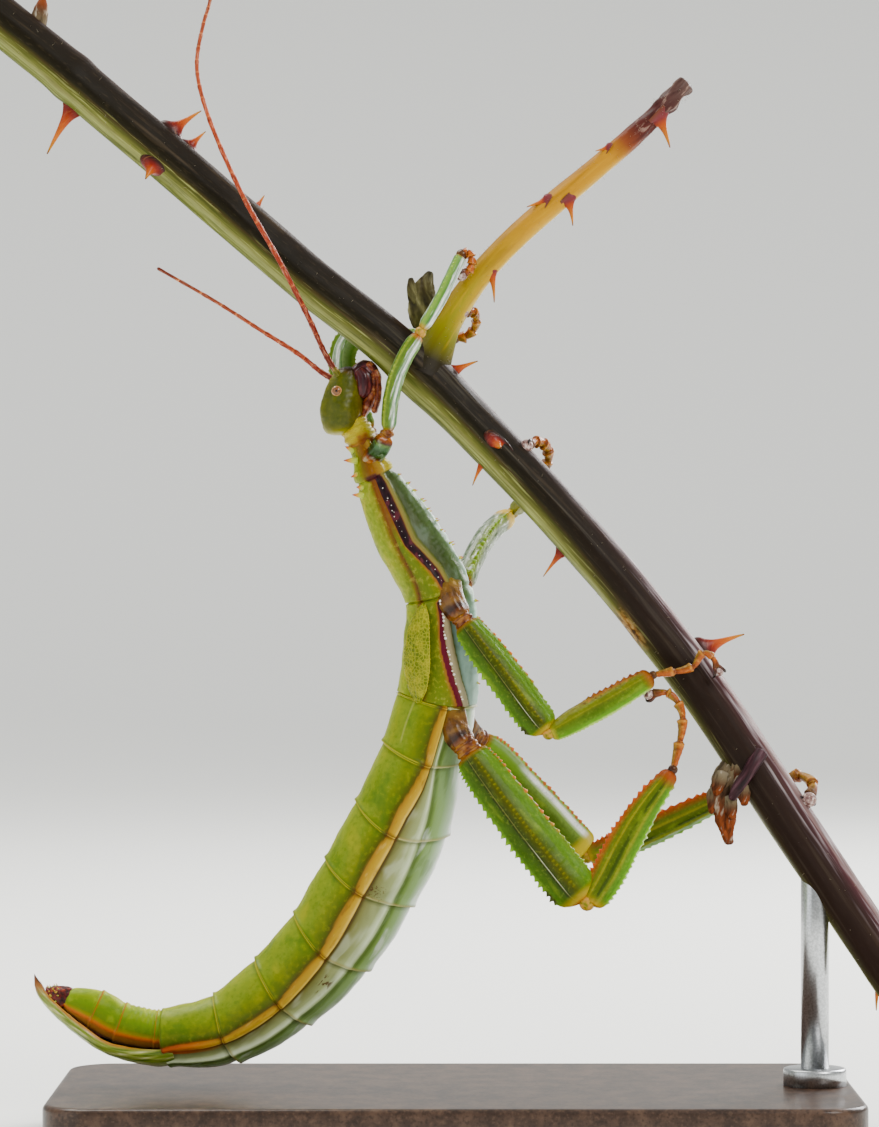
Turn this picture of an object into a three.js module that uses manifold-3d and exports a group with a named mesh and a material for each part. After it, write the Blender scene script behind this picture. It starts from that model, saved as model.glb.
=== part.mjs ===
// A large green stick insect gripping a bramble cane, held up by a plain display stand.
//
// Millimetres, +Z up. The origin is the middle of the stand's underside. The insect hangs in the
// plane Y = 0 with its head up: its back faces -X, its belly and the cane are on the +X side, and
// its right-hand legs are at -Y.

import * as THREE from 'three';
import { mergeVertices } from 'three/addons/utils/BufferGeometryUtils.js';
import Module from 'manifold-3d';

const wasm = await Module();
wasm.setup();

// ---------------------------------------------------------------- driving dimensions

const GAP = 0.3; // room between a piece and the neighbour that cuts it
const SLIVER = 0.03; // detail smaller than this is cleared away after a cut
const TRUNK_STEP = 9; // from one station of the trunk to the next, near enough
const TAIL_STEP = 5; // the same for the tail
const OVERRUN = 0.05; // how far a clearing runs past its last station, in stations

// Stations along the middle of the body: x, z, depth from back to belly, width from side to side.
const TRUNK = [
  [-13.5, 100.7, 3.8, 4.2], // 0 neck end of the prothorax
  [-11.3, 94.8, 6.2, 5.4], // 1 prothorax meets mesothorax
  [-7.3, 87.3, 9.4, 7.2], // 2 middle of the mesothorax
  [-2.3, 77.9, 9.9, 8.6], // 3 mesothorax meets metathorax, at the middle coxae
  [-2.0, 70.1, 11.0, 9.2], // 4 middle of the metathorax
  [-2.6, 63.0, 11.6, 9.6], // 5 metathorax meets the first abdominal length
  [-4.6, 55.5, 11.8, 10.4], // 6 hind coxae, first ring
  [-7.6, 46.0, 14.0, 11.8], // 7
  [-12.3, 36.9, 14.2, 12.2], // 8
  [-17.7, 28.4, 13.5, 11.8], // 9
  [-24.7, 21.3, 12.2, 10.8], // 10
  [-32.7, 16.1, 10.3, 9.2], // 11
  [-41.6, 14.7, 8.1, 7.2], // 12 last full ring, where the keel plate hinges
];
// Above the keel plate the last three lengths are shallower.
const TAIL = [
  [-42.7, 15.9, 5.7, 6.4], // 0
  [-47.9, 17.0, 5.8, 5.6], // 1
  [-51.4, 18.8, 5.8, 5.0], // 2
  [-56.0, 20.5, 3.2, 3.2], // 3
];
const HEAD = [
  [-16.2, 100.8, 2.8, 3.2], // 0 back of the head
  [-16.3, 101.8, 5.0, 5.4], // 1
  [-16.2, 103.9, 6.2, 6.4], // 2 widest, behind the eyes
  [-15.95, 105.9, 6.0, 6.2], // 3
  [-15.6, 107.9, 5.0, 5.2], // 4 eyes
  [-15.2, 109.5, 3.5, 3.8], // 5 feeler sockets
  [-14.9, 110.6, 1.6, 2.4], // 6
];
const NECK = [
  [-14.9, 103.2, 3.4, 3.4],
  [-14.2, 101.6, 4.2, 3.8],
  [-13.0, 99.6, 3.8, 3.8],
];
const MOUTH = [
  [-14.9, 107.9, 3.0, 3.0],
  [-13.3, 109.3, 3.8, 3.4],
  [-12.0, 110.4, 3.2, 2.8],
  [-11.4, 111.0, 1.2, 1.4],
];
const KEEL_PLATE = [
  [-42.4, 12.8, 4.2, 6.2], // 0 hinge end, under the last full ring
  [-49.2, 13.6, 2.4, 5.4],
  [-53.4, 16.2, 2.3, 4.4],
  [-56.8, 19.0, 2.0, 3.2],
  [-58.8, 21.2, 1.6, 2.0],
  [-60.0, 23.9, 0.8, 0.9], // 5 pointed tip
];
const HOLLOW = { wall: 1.0, lift: 0.36, depth: 0.9, leastWidth: 0.3, overrun: 1 }; // inside the keel plate
const TAIL_TIP = [
  [-56.2, 20.6, 3.0, 2.8],
  [-57.6, 20.8, 2.6, 2.2],
  [-58.6, 20.9, 1.2, 1.2],
];

const RING_SWELL = 0.015; // how much each abdominal length bulges between its rings
const SPINE_RADIUS = 0.5;

const EYE_RADIUS = 0.85;
const EYE = [-16.8, 2.45, 107.0]; // mirrored for the other side

const FEELER_RADIUS = { root: 0.45, tip: 0.26 };
const FEELERS = {
  right: [
    [-16.4, -1.2, 109.0], [-18.4, -2.4, 112.2], [-20.6, -4.2, 117.0], [-24.8, -5.6, 125.2],
    [-30.4, -6.0, 135.3], [-35.4, -6.2, 147.3], [-36.5, -6.2, 153.0], [-35.6, -6.4, 158.6],
    [-34.6, -6.6, 162.1], [-34.1, -6.8, 167.7],
  ],
  left: [
    [-16.9, 1.2, 108.6], [-19.1, 1.9, 109.9], [-22.2, 2.8, 112.4], [-28.0, 4.2, 116.1],
    [-33.9, 5.4, 119.9], [-43.0, 6.8, 125.2],
  ],
};
// The palps hang beside the mouth, back along the throat.
const PALP = [[-11.3, 1.3, 110.0], [-10.9, 1.7, 108.4], [-10.9, 1.8, 106.3], [-11.6, 1.5, 104.0]];
const PALP_RADIUS = 0.4;

// Short leathery wing pads, folded back over the metathorax.
const WING_PAD = {
  stations: [
    [-4.5, 3.5, 76.8, 1.8], [-5.2, 4.4, 72.6, 4.2], [-5.4, 4.5, 67.4, 4.8], [-5.2, 4.2, 62.6, 2.0],
  ],
  thickness: 1.1,
  lean: [-0.75, 0.66], // how the pad's width lies on the flank, x and towards the back
};

// Leg sizes: each limb's depth at its root, middle and end, then its thickness.
const LEG_SIZES = {
  fore: {
    coxa: [3.4, 3.2, 2.8, 2.8], femur: [2.3, 3.1, 2.8, 2.1], tibia: [1.8, 1.9, 1.7, 1.6], tarsus: 1.2,
  },
  mid: {
    coxa: [4.0, 3.8, 3.2, 3.4], femur: [3.5, 4.7, 4.2, 3.0], tibia: [2.2, 3.5, 1.9, 2.2], tarsus: 1.3,
  },
  hind: {
    coxa: [4.2, 4.0, 3.6, 3.6], femur: [4.4, 5.8, 6.2, 3.4], tibia: [3.4, 4.2, 2.2, 2.4], tarsus: 1.5,
  },
};
// Middle lines of the limbs, each from the body outwards.
const LEGS = {
  fore_right: {
    coxa: [[-12.2, -0.6, 97.2], [-10.6, -2.4, 99.0], [-9.7, -3.1, 100.9]],
    femur: [
      [-9.5, -3.2, 101.2], [-9.1, -4.5, 105.4], [-8.2, -5.2, 109.1], [-6.7, -5.5, 112.4],
      [-5.0, -5.4, 115.0],
    ],
    tibia: [[-4.8, -5.4, 115.4], [-2.1, -4.6, 119.9], [-0.2, -3.6, 123.9], [0.9, -2.9, 126.2]],
    tarsus: [
      [1.0, -2.8, 126.5], [1.9, -2.8, 126.6], [2.4, -2.9, 125.5], [2.1, -2.9, 124.3],
      [1.3, -2.7, 123.8],
    ],
  },
  fore_left: {
    coxa: [[-12.4, 0.6, 97.4], [-11.8, 2.5, 99.4], [-12.2, 3.2, 101.1]],
    femur: [
      [-12.3, 3.3, 101.4], [-14.4, 4.8, 105.5], [-16.1, 5.6, 110.1], [-16.0, 5.9, 113.3],
      [-14.2, 5.8, 116.4],
    ],
    tibia: [[-13.9, 5.8, 116.6], [-8.6, 5.4, 115.4], [-3.6, 4.6, 114.7], [-0.2, 3.5, 114.8]],
    tarsus: [
      [0.1, 3.4, 114.9], [1.9, 3.2, 115.3], [3.0, 2.5, 116.7], [2.8, 1.2, 118.4], [1.5, 0.0, 118.4],
    ],
  },
  mid_right: {
    coxa: [[-1.2, -1.6, 80.6], [-0.5, -4.0, 77.2], [1.1, -5.0, 74.5]],
    femur: [
      [1.3, -5.1, 74.2], [3.7, -5.8, 71.1], [7.2, -7.0, 66.5], [10.7, -8.0, 61.7], [13.0, -8.6, 58.7],
    ],
    tibia: [[13.3, -8.6, 58.4], [16.6, -8.2, 60.3], [22.0, -7.0, 63.2], [27.9, -5.6, 66.6]],
    tarsus: [
      [28.1, -5.6, 66.8], [31.1, -5.2, 67.2], [33.7, -5.0, 67.9], [35.2, -5.0, 69.8],
      [36.5, -4.9, 69.2], [37.2, -4.7, 67.6],
    ],
  },
  mid_left: {
    coxa: [[-1.4, 1.8, 80.4], [0.0, 4.0, 79.0], [1.0, 6.0, 79.0]],
    femur: [[1.2, 6.3, 79.3], [2.8, 9.5, 83.4], [5.2, 13.0, 87.1], [8.4, 16.1, 89.8]],
    tibia: [[8.7, 16.2, 90.1], [10.4, 12.2, 92.0], [11.8, 8.4, 93.8], [12.7, 5.6, 95.4]],
    tarsus: [
      [12.8, 5.3, 95.7], [13.5, 4.5, 97.7], [13.1, 2.8, 99.4], [11.8, 1.0, 100.0], [10.5, -0.8, 99.4],
    ],
  },
  hind_right: {
    coxa: [[-0.6, -1.6, 62.6], [0.0, -4.2, 59.0], [1.8, -5.4, 56.2]],
    femur: [
      [2.1, -5.5, 55.8], [4.5, -6.3, 52.5], [9.4, -7.7, 46.0], [14.3, -8.7, 39.8], [18.2, -9.2, 35.0],
    ],
    tibia: [
      [18.9, -9.2, 34.5], [21.3, -9.0, 38.4], [23.5, -8.4, 42.6], [26.5, -7.6, 47.6],
      [30.7, -6.8, 53.2],
    ],
    tarsus: [
      [30.8, -6.8, 53.6], [31.8, -6.4, 57.4], [32.2, -6.0, 60.6], [31.5, -5.6, 62.9],
      [29.9, -5.3, 64.2], [27.9, -5.2, 64.0],
    ],
  },
  hind_left: {
    coxa: [[-0.6, 1.8, 62.2], [1.4, 4.0, 59.0], [2.8, 6.0, 57.3]],
    femur: [
      [3.3, 6.6, 57.0], [5.7, 8.8, 54.8], [9.2, 11.6, 50.7], [12.9, 14.0, 46.6], [16.4, 15.6, 42.6],
      [19.2, 16.3, 39.8],
    ],
    tibia: [
      [19.6, 16.3, 39.4], [24.2, 14.8, 41.3], [29.4, 12.4, 43.8], [36.7, 8.8, 47.6], [40.6, 6.8, 49.5],
    ],
    tarsus: [
      [40.9, 6.6, 49.6], [44.3, 6.0, 49.9], [47.4, 4.9, 51.2], [49.6, 3.0, 52.0], [51.2, 0.6, 50.9],
      [50.6, -1.0, 49.2],
    ],
  },
};
const KNEE = { start: 0.88, taper: 0.3 }; // the femur narrows from this share of its length
const TARSUS = { joints: 5, pinch: 0.14, tipSize: 0.85 };
const CLAW = { length: 1.5, radius: 0.34, spread: 0.55, inset: 0.3, offset: 0.2 };

const CANE_RADIUS = 3.4;
const CANE_RIDGE = 0.05; // how far its five ridges stand out, as a share of the radius
const CANE = [
  [-67.3, 162.1], [-56.4, 153.3], [-47.9, 146.1], [-36.4, 136.4], [-22.1, 124.0], [-7.9, 112.6],
  [6.4, 98.4], [20.7, 83.0], [35.0, 65.0], [49.3, 43.7], [63.6, 22.3],
];
const SHOOT = [
  // x, z, diameter
  [-3.4, 111.6, 5.0], [-1.0, 117.0, 4.0], [3.6, 123.7, 3.6], [9.3, 129.7, 3.4], [15.0, 134.7, 3.3],
  [20.7, 139.4, 3.1], [26.4, 144.4, 3.0], [33.3, 151.3, 3.2],
];
// Thorns: the point at the middle of the root, the tip, and the root's length along the stem.
const CANE_THORNS = [
  { root: [-54.0, 0, 148.2], tip: [-58.2, -0.6, 140.9], length: 4.6 },
  { root: [-40.4, 0, 144.2], tip: [-36.2, 0.2, 147.2], length: 4.0 },
  { root: [-38.0, 0.4, 142.0], tip: [-35.6, 0.6, 144.3], length: 3.2 },
  { root: [-43.4, -1.0, 138.6], tip: [-44.6, -4.6, 137.8], length: 4.0 },
  { root: [-28.6, 0.6, 133.2], tip: [-27.2, 0.8, 135.2], length: 2.6 },
  { root: [-0.6, 0.0, 109.6], tip: [3.3, -0.4, 111.4], length: 3.6 },
  { root: [4.4, -0.6, 97.6], tip: [2.5, -1.2, 93.6], length: 2.8 },
  { root: [6.2, -1.6, 99.4], tip: [6.2, -4.7, 99.8], length: 4.2 },
  { root: [15.6, 0.2, 84.6], tip: [12.6, 0.2, 80.6], length: 2.8 },
  { root: [35.6, 0.2, 70.0], tip: [41.4, 0.4, 72.4], length: 4.6 },
  { root: [61.0, 0.2, 24.0], tip: [60.2, 0.2, 18.6], length: 3.6 },
];
const SHOOT_THORNS = [
  { root: [5.4, -0.3, 124.6], tip: [5.6, -0.8, 119.7], length: 2.6 },
  { root: [13.2, 0.0, 134.4], tip: [10.5, 0.0, 133.5], length: 2.8 },
  { root: [16.2, -0.6, 134.6], tip: [17.0, -1.6, 130.8], length: 2.4 },
  { root: [29.4, 0.0, 147.0], tip: [30.6, -0.2, 142.0], length: 2.6 },
];
// A thorn's waist: where it is on the way to the tip, and its share of the root's length and width.
const THORN = { width: 1.8, waistAt: 0.4, waistLength: 0.4, waistWidth: 0.6, tip: 0.3 };
const DRY_LEAF_BASE = [
  [-3.9, 1.2, 116.2, 4.0], [-4.6, 1.4, 119.0, 4.4], [-4.4, 1.5, 121.6, 3.0], [-3.4, 1.5, 124.3, 0.8],
];
const DRY_BUD = [
  [42.0, 0.0, 54.0, 3.2], [39.6, -0.6, 52.6, 4.6], [38.4, -1.0, 49.6, 4.0], [38.6, -1.2, 46.0, 2.6],
  [39.1, -1.2, 42.4, 0.9],
];
const DRY_FLATNESS = 0.8;

const STAND = {
  length: 114, depth: 54, thickness: 8, corner: 7, bevel: 0.8, rodRadius: 2, rodX: 51.4, rodTop: 44,
  collarRadius: 4.5, collarHeight: 2.5,
};

// ---------------------------------------------------------------- finishes

/** A plain surface of one colour. */
function finish(color, roughness, metalness = 0) {
  return new THREE.MeshStandardMaterial({ color, roughness, metalness });
}
const FINISHES = {
  back: () => finish('#86a236', 0.42),
  thorax: () => finish('#8aa63e', 0.42),
  head: () => finish('#6d7c24', 0.4),
  mouth: () => finish('#4a2020', 0.35),
  palp: () => finish('#8a4326', 0.4),
  eye: () => finish('#c79a63', 0.15),
  feeler: () => finish('#b9563c', 0.5),
  wing: () => finish('#8b9c2c', 0.55),
  keelPlate: () => finish('#a9b75f', 0.4),
  tail: () => finish('#5c2419', 0.45),
  coxa: () => finish('#9a6a24', 0.4),
  leg: () => finish('#5f8a1c', 0.42),
  tarsus: () => finish('#c0652c', 0.45),
  cane: () => finish('#37281f', 0.45),
  shoot: () => finish('#b98a3c', 0.5),
  dry: () => finish('#6b5a44', 0.9),
  base: () => finish('#3b2a20', 0.5),
  steel: () => finish('#b9bbbd', 0.3, 1),
};

// ---------------------------------------------------------------- shape helpers

/** A section's outline: pairs of an angle from the top, in degrees, and a share of the ellipse. */
function outline(pairs) {
  return (angle) => {
    const degrees = THREE.MathUtils.radToDeg(Math.abs(angle));
    const next = Math.max(1, pairs.findIndex(([at]) => at >= degrees));
    const [a0, f0] = pairs[next - 1];
    const [a1, f1] = pairs[next];
    return THREE.MathUtils.mapLinear(degrees, a0, a1, f0, f1);
  };
}

const ELLIPSE = () => 1;
// Domed back, a fold of skin low on the flank, and a ridge on each side of the belly plates.
const ABDOMEN_OUTLINE = outline([
  [0, 1], [45, 1.03], [90, 1.0], [105, 0.98], [126, 0.93], [144, 0.98], [180, 1],
]);
// Roof-shaped back, a ledge at mid flank, and a boat-shaped breast.
const THORAX_OUTLINE = outline([[0, 1], [36, 0.95], [72, 0.97], [90, 1.02], [126, 0.97], [180, 1]]);
// Keeled above and below.
const LIMB_OUTLINE = outline([[0, 1.06], [30, 0.94], [90, 1], [150, 0.94], [180, 1.06]]);
const CANE_OUTLINE = (angle) => 1 + CANE_RIDGE * Math.cos(5 * (angle - Math.PI / 2));

const vector = ([x, y, z]) => new THREE.Vector3(x, y, z);
const inPlane = (stations) => stations.map(([x, z, depth, width = depth]) => [x, 0, z, depth, width]);
const mirrored = (points) => points.map(([x, y, ...rest]) => [x, -y, ...rest]);

/** Turns a closed geometry into a solid that can be joined and cut. */
function toSolid(geometry) {
  geometry.deleteAttribute('normal');
  geometry.deleteAttribute('uv');
  const merged = mergeVertices(geometry, 1e-5);
  const vertProperties = new Float32Array(merged.attributes.position.array);
  const triVerts = new Uint32Array(merged.index.array);
  return new wasm.Manifold(new wasm.Mesh({ numProp: 3, vertProperties, triVerts }));
}

/** Turns a solid back into a geometry. */
function toGeometry(solid) {
  const mesh = solid.getMesh();
  const geometry = new THREE.BufferGeometry();
  geometry.setAttribute('position', new THREE.BufferAttribute(mesh.vertProperties, 3));
  geometry.setIndex(new THREE.BufferAttribute(mesh.triVerts, 1));
  return geometry;
}

/**
 * Sweeps a closed outline along stations [x, y, z, depth, width] and caps both ends flat.
 * up is the way the depth is measured; swell scales the section along the way, from 0 to 1.
 */
function sweep(stations, options) {
  const { up, shape = ELLIPSE, sides = 12, rows = 8, grow = 0, swell = () => 1 } = options;
  const { from = 0, to = stations.length - 1 } = options;
  const path = new THREE.CatmullRomCurve3(stations.map(vector));
  const sizePoints = stations.map(([, , , depth, width]) => new THREE.Vector3(depth, width, 0));
  const sizes = new THREE.CatmullRomCurve3(sizePoints, false, 'catmullrom', 0.5);
  const geometry = new THREE.CylinderGeometry(1, 1, 1, sides, rows);
  const position = geometry.attributes.position;
  const tangent = new THREE.Vector3();
  for (let i = 0; i < position.count; i += 1) {
    const along = 0.5 - position.getY(i);
    const t = THREE.MathUtils.lerp(from, to, along) / (stations.length - 1);
    const radius = Math.hypot(position.getX(i), position.getZ(i));
    const angle = Math.atan2(position.getZ(i), position.getX(i));
    path.getTangent(t, tangent);
    const rise = up.clone().addScaledVector(tangent, -up.dot(tangent)).normalize();
    const side = tangent.clone().cross(rise);
    const size = sizes.getPoint(t).multiplyScalar(shape(angle) * swell(along) / 2).addScalar(grow);
    const point = path.getPoint(t)
      .addScaledVector(rise, radius * size.x * Math.cos(angle))
      .addScaledVector(side, radius * size.y * Math.sin(angle));
    position.setXYZ(i, point.x, point.y, point.z);
  }
  return toSolid(geometry);
}

/** A cone from its root to its tip. */
function spike(root, tip, radius, sides = 6) {
  const axis = tip.clone().sub(root);
  const geometry = new THREE.ConeGeometry(radius, axis.length(), sides);
  geometry.translate(0, axis.length() / 2, 0);
  const turn = new THREE.Quaternion().setFromUnitVectors(new THREE.Vector3(0, 1, 0), axis.normalize());
  geometry.applyQuaternion(turn);
  geometry.translate(root.x, root.y, root.z);
  return toSolid(geometry);
}

/** Cuts the others away from a solid and keeps its largest remaining body. */
function trim(solid, ...others) {
  const rest = others.reduce((left, other) => left.subtract(other), solid);
  const bodies = rest.simplify(SLIVER).decompose().sort((a, b) => b.volume() - a.volume());
  return bodies[0];
}

const insect = new THREE.Group();

/** Adds a solid to the group as one named mesh. */
function add(name, solid, material) {
  const mesh = new THREE.Mesh(toGeometry(solid), material);
  mesh.name = name;
  insect.add(mesh);
}

// ---------------------------------------------------------------- trunk

const DORSAL = new THREE.Vector3(-1, 0, 0.12); // roughly away from the belly, all along the body
const UPRIGHT = new THREE.Vector3(0, 0, 1);
const TAIL_UP = new THREE.Vector3(0.35, 0, 1); // away from the belly, above the keel plate

/** A length of the trunk between two stations, leaving half the gap at each end. */
function trunkLength(from, to, options) {
  const halfGap = GAP / 2 / TRUNK_STEP;
  return sweep(inPlane(TRUNK), { up: DORSAL, from: from + halfGap, to: to - halfGap, ...options });
}

const THORAX = { shape: THORAX_OUTLINE, sides: 16 };
const prothorax = trunkLength(0, 1, { ...THORAX, rows: 3 });
const mesothorax = trunkLength(1, 3, { ...THORAX, rows: 6 });
const metathorax = trunkLength(3, 5, { ...THORAX, rows: 5 });
const thoraxRoom = trunkLength(0, 5 + OVERRUN, { ...THORAX, rows: 11, grow: GAP });

/** Short spines along the back of the neck shield, on both sides of the middle. */
function withSpines(solid, spines) {
  const cones = spines.map(([root, tip]) => spike(vector(root), vector(tip), SPINE_RADIUS, 4));
  return cones.reduce((sum, cone) => sum.add(cone), solid);
}

const PROTHORAX_SPINES = [
  [[-14.4, 0.9, 98.6], [-15.7, 1.2, 99.2]],
  [[-13.9, 1.1, 97.2], [-15.9, 1.5, 97.2]],
  [[-13.2, 0.9, 95.5], [-14.9, 1.2, 94.8]],
];
const MESOTHORAX_SPINES = [
  [[-12.9, 1.0, 93.3], [-14.1, 1.3, 93.4]],
  [[-12.9, 1.2, 92.2], [-14.7, 1.5, 92.3]],
];
const bothSides = (spines) => [...spines, ...spines.map((spine) => mirrored(spine))];

const HEAD_SWEEP = { up: DORSAL, sides: 14, rows: 8 };
const head = sweep(inPlane(HEAD), HEAD_SWEEP);
const headRoom = sweep(inPlane(HEAD), { ...HEAD_SWEEP, grow: GAP });
const mouth = sweep(inPlane(MOUTH), { up: DORSAL, sides: 12, rows: 5 });
const mouthRoom = sweep(inPlane(MOUTH), { up: DORSAL, sides: 12, rows: 5, grow: GAP });

add('head', head, FINISHES.head());
add('mouthparts', trim(mouth, headRoom), FINISHES.mouth());
const neck = sweep(inPlane(NECK), { up: DORSAL, rows: 3 });
const neckRoom = sweep(inPlane(NECK), { up: DORSAL, rows: 3, grow: GAP });
add('neck', trim(neck, headRoom, mouthRoom, thoraxRoom), FINISHES.coxa());
add('prothorax', withSpines(prothorax, bothSides(PROTHORAX_SPINES)), FINISHES.thorax());
add('mesothorax', withSpines(mesothorax, bothSides(MESOTHORAX_SPINES)), FINISHES.thorax());
add('metathorax', metathorax, FINISHES.thorax());

const bulge = (along) => 1 + RING_SWELL * Math.sin(Math.PI * along);
const ABDOMEN = { shape: ABDOMEN_OUTLINE, sides: 18, rows: 3, swell: bulge };
const abdomenRoom = trunkLength(5, 7, { ...ABDOMEN, grow: GAP });
const FIRST_ABDOMEN_STATION = 5;
const TAIL_START = 7; // of the ten lengths, those from here on lie above the keel plate
const twoDigits = (number) => String(number).padStart(2, '0');
for (let length = 0; length < TAIL_START; length += 1) {
  const from = FIRST_ABDOMEN_STATION + length;
  add(`abdomen_${twoDigits(length + 1)}`, trunkLength(from, from + 1, ABDOMEN), FINISHES.back());
}
const trunkEndRoom = trunkLength(11, 12 + OVERRUN, { ...ABDOMEN, grow: GAP });
for (let length = 0; length < TAIL.length - 1; length += 1) {
  const halfGap = GAP / 2 / TAIL_STEP;
  const [from, to] = [length + halfGap, length + 1 - halfGap];
  const solid = sweep(inPlane(TAIL), { ...ABDOMEN, sides: 14, up: TAIL_UP, from, to });
  add(`abdomen_${twoDigits(TAIL_START + length + 1)}`, solid, FINISHES.back());
}
const tailRoom = sweep(inPlane(TAIL), { up: TAIL_UP, sides: 16, rows: 8, grow: GAP });

/** The boat-shaped plate: a trough, open towards the tail above it and at its hinge end. */
function keelPlate(grow) {
  const hull = sweep(inPlane(KEEL_PLATE), { up: UPRIGHT, sides: 12, rows: 6, grow });
  const [hinge, ...rest] = KEEL_PLATE;
  const overrun = [hinge[0] + HOLLOW.overrun, ...hinge.slice(1)];
  const hollow = [overrun, ...rest].map(([x, z, depth, width]) => [
    x, z + depth * HOLLOW.lift, depth * HOLLOW.depth, Math.max(HOLLOW.leastWidth, width - 2 * HOLLOW.wall),
  ]);
  return hull.subtract(sweep(inPlane(hollow), { up: UPRIGHT, sides: 8, rows: 5, grow: -grow / 2, to: 4 }));
}
add('keel_plate', trim(keelPlate(0), tailRoom, trunkEndRoom), FINISHES.keelPlate());
const tailTip = sweep(inPlane(TAIL_TIP), { up: TAIL_UP, sides: 8, rows: 3 });
add('tail_tip', trim(tailTip, tailRoom, keelPlate(GAP)), FINISHES.tail());

// ---------------------------------------------------------------- eyes, feelers, palps, wing pads

const SIDES = { right: -1, left: 1 };
for (const [name, sign] of Object.entries(SIDES)) {
  const ball = new THREE.SphereGeometry(EYE_RADIUS, 10, 8);
  ball.translate(EYE[0], sign * EYE[1], EYE[2]);
  add(`eye_${name}`, trim(toSolid(ball), headRoom), FINISHES.eye());

  const line = FEELERS[name];
  const feeler = line.map((point, index) => {
    const share = index / (line.length - 1);
    const diameter = 2 * THREE.MathUtils.lerp(FEELER_RADIUS.root, FEELER_RADIUS.tip, share);
    return [...point, diameter, diameter];
  });
  const rows = 2 * (line.length - 1);
  const feelerSolid = sweep(feeler, { up: new THREE.Vector3(0, 1, 0), sides: 6, rows });
  add(`antenna_${name}`, trim(feelerSolid, headRoom, mouthRoom), FINISHES.feeler());

  const palp = PALP.map(([x, y, z]) => [x, sign * y, z, 2 * PALP_RADIUS, 2 * PALP_RADIUS]);
  const palpSolid = sweep(palp, { up: new THREE.Vector3(0, 1, 0), sides: 6, rows: 6 });
  add(`palp_${name}`, trim(palpSolid, headRoom, mouthRoom, neckRoom), FINISHES.palp());

  const pad = WING_PAD.stations.map(([x, y, z, depth]) => [x, sign * y, z, depth, WING_PAD.thickness]);
  const lean = new THREE.Vector3(WING_PAD.lean[0], -sign * WING_PAD.lean[1], 0);
  const padSolid = sweep(pad, { up: lean, sides: 8, rows: 4 });
  add(`wing_pad_${name}`, trim(padSolid, thoraxRoom, abdomenRoom), FINISHES.wing());
}

// ---------------------------------------------------------------- perch

const CANE_UP = new THREE.Vector3(0.7, 0, 0.7);

/** A thorn: a flattened cone whose root is long in the direction of the stem. */
function thorn({ root, tip, length }, stem, grow) {
  const waist = vector(root).lerp(vector(tip), THORN.waistAt).toArray();
  const stations = [
    [...root, length, THORN.width],
    [...waist, length * THORN.waistLength, THORN.width * THORN.waistWidth],
    [...tip, THORN.tip, THORN.tip],
  ];
  return sweep(stations, { up: stem, sides: 6, rows: 2, grow });
}

/** A stem with its thorns grown on. */
function thornyStem(stations, options, thorns, direction, grow = 0) {
  const stem = sweep(stations, { ...options, grow });
  return thorns.reduce((sum, item) => sum.add(thorn(item, direction, grow)), stem);
}

const CANE_DIRECTION = new THREE.Vector3(0.75, 0, -0.66);
const SHOOT_DIRECTION = new THREE.Vector3(0.65, 0, 0.76);
const caneStations = inPlane(CANE.map(([x, z]) => [x, z, 2 * CANE_RADIUS]));
const caneOptions = { up: CANE_UP, shape: CANE_OUTLINE, sides: 10, rows: 16 };
const cane = thornyStem(caneStations, caneOptions, CANE_THORNS, CANE_DIRECTION);
const caneRoom = thornyStem(caneStations, caneOptions, CANE_THORNS, CANE_DIRECTION, GAP);
add('perch_cane', trim(cane), FINISHES.cane());

const shootOptions = { up: new THREE.Vector3(-0.7, 0, 0.7), sides: 8, rows: 8 };
const shoot = thornyStem(inPlane(SHOOT), shootOptions, SHOOT_THORNS, SHOOT_DIRECTION);
const shootRoom = thornyStem(inPlane(SHOOT), shootOptions, SHOOT_THORNS, SHOOT_DIRECTION, GAP);
add('perch_shoot', trim(shoot, caneRoom), FINISHES.shoot());

/** A plump dry bud or leaf base with a round section. */
function dryPiece(stations) {
  return sweep(stations.map(([x, y, z, depth]) => [x, y, z, depth, depth * DRY_FLATNESS]), {
    up: new THREE.Vector3(1, 0, 0), sides: 8, rows: 6,
  });
}
add('perch_leaf_base', trim(dryPiece(DRY_LEAF_BASE), caneRoom, shootRoom), FINISHES.dry());
add('perch_bud', trim(dryPiece(DRY_BUD), caneRoom), FINISHES.dry());

// ---------------------------------------------------------------- legs

/** Puts a limb's sizes on its middle line: depth through root, middle and end values. */
function limbStations(line, [root, middle, end, thickness]) {
  return line.map((point, index) => {
    const s = index / (line.length - 1);
    const depth = root * (1 - s) * (1 - 2 * s) + middle * 4 * s * (1 - s) + end * s * (2 * s - 1);
    return [...point, depth, Math.min(thickness, depth)];
  });
}

const chord = (line) => vector(line[line.length - 1]).sub(vector(line[0])).normalize();

/** The foot: five short joints ending in a pair of claws. */
function tarsusSolid(line, size, up) {
  const stations = limbStations(line, [size, size, size, size * TARSUS.tipSize]);
  const swell = (along) => 1 - TARSUS.pinch * Math.cos(2 * Math.PI * TARSUS.joints * along);
  const foot = sweep(stations, { up, sides: 6, rows: 2 * TARSUS.joints, swell });
  const end = vector(line[line.length - 1]);
  const forward = end.clone().sub(vector(line[line.length - 2])).normalize();
  const across = forward.clone().cross(up).normalize();
  return [-1, 1].reduce((sum, sign) => {
    const aside = sign * size * CLAW.offset;
    const root = end.clone().addScaledVector(forward, -CLAW.inset).addScaledVector(across, aside);
    const reach = forward.clone().addScaledVector(across, sign * CLAW.spread).normalize();
    return sum.add(spike(root, root.clone().addScaledVector(reach, CLAW.length), CLAW.radius, 4));
  }, foot);
}

const kneeTaper = (along) => 1 - KNEE.taper * Math.max(0, (along - KNEE.start) / (1 - KNEE.start)) ** 2;

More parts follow.
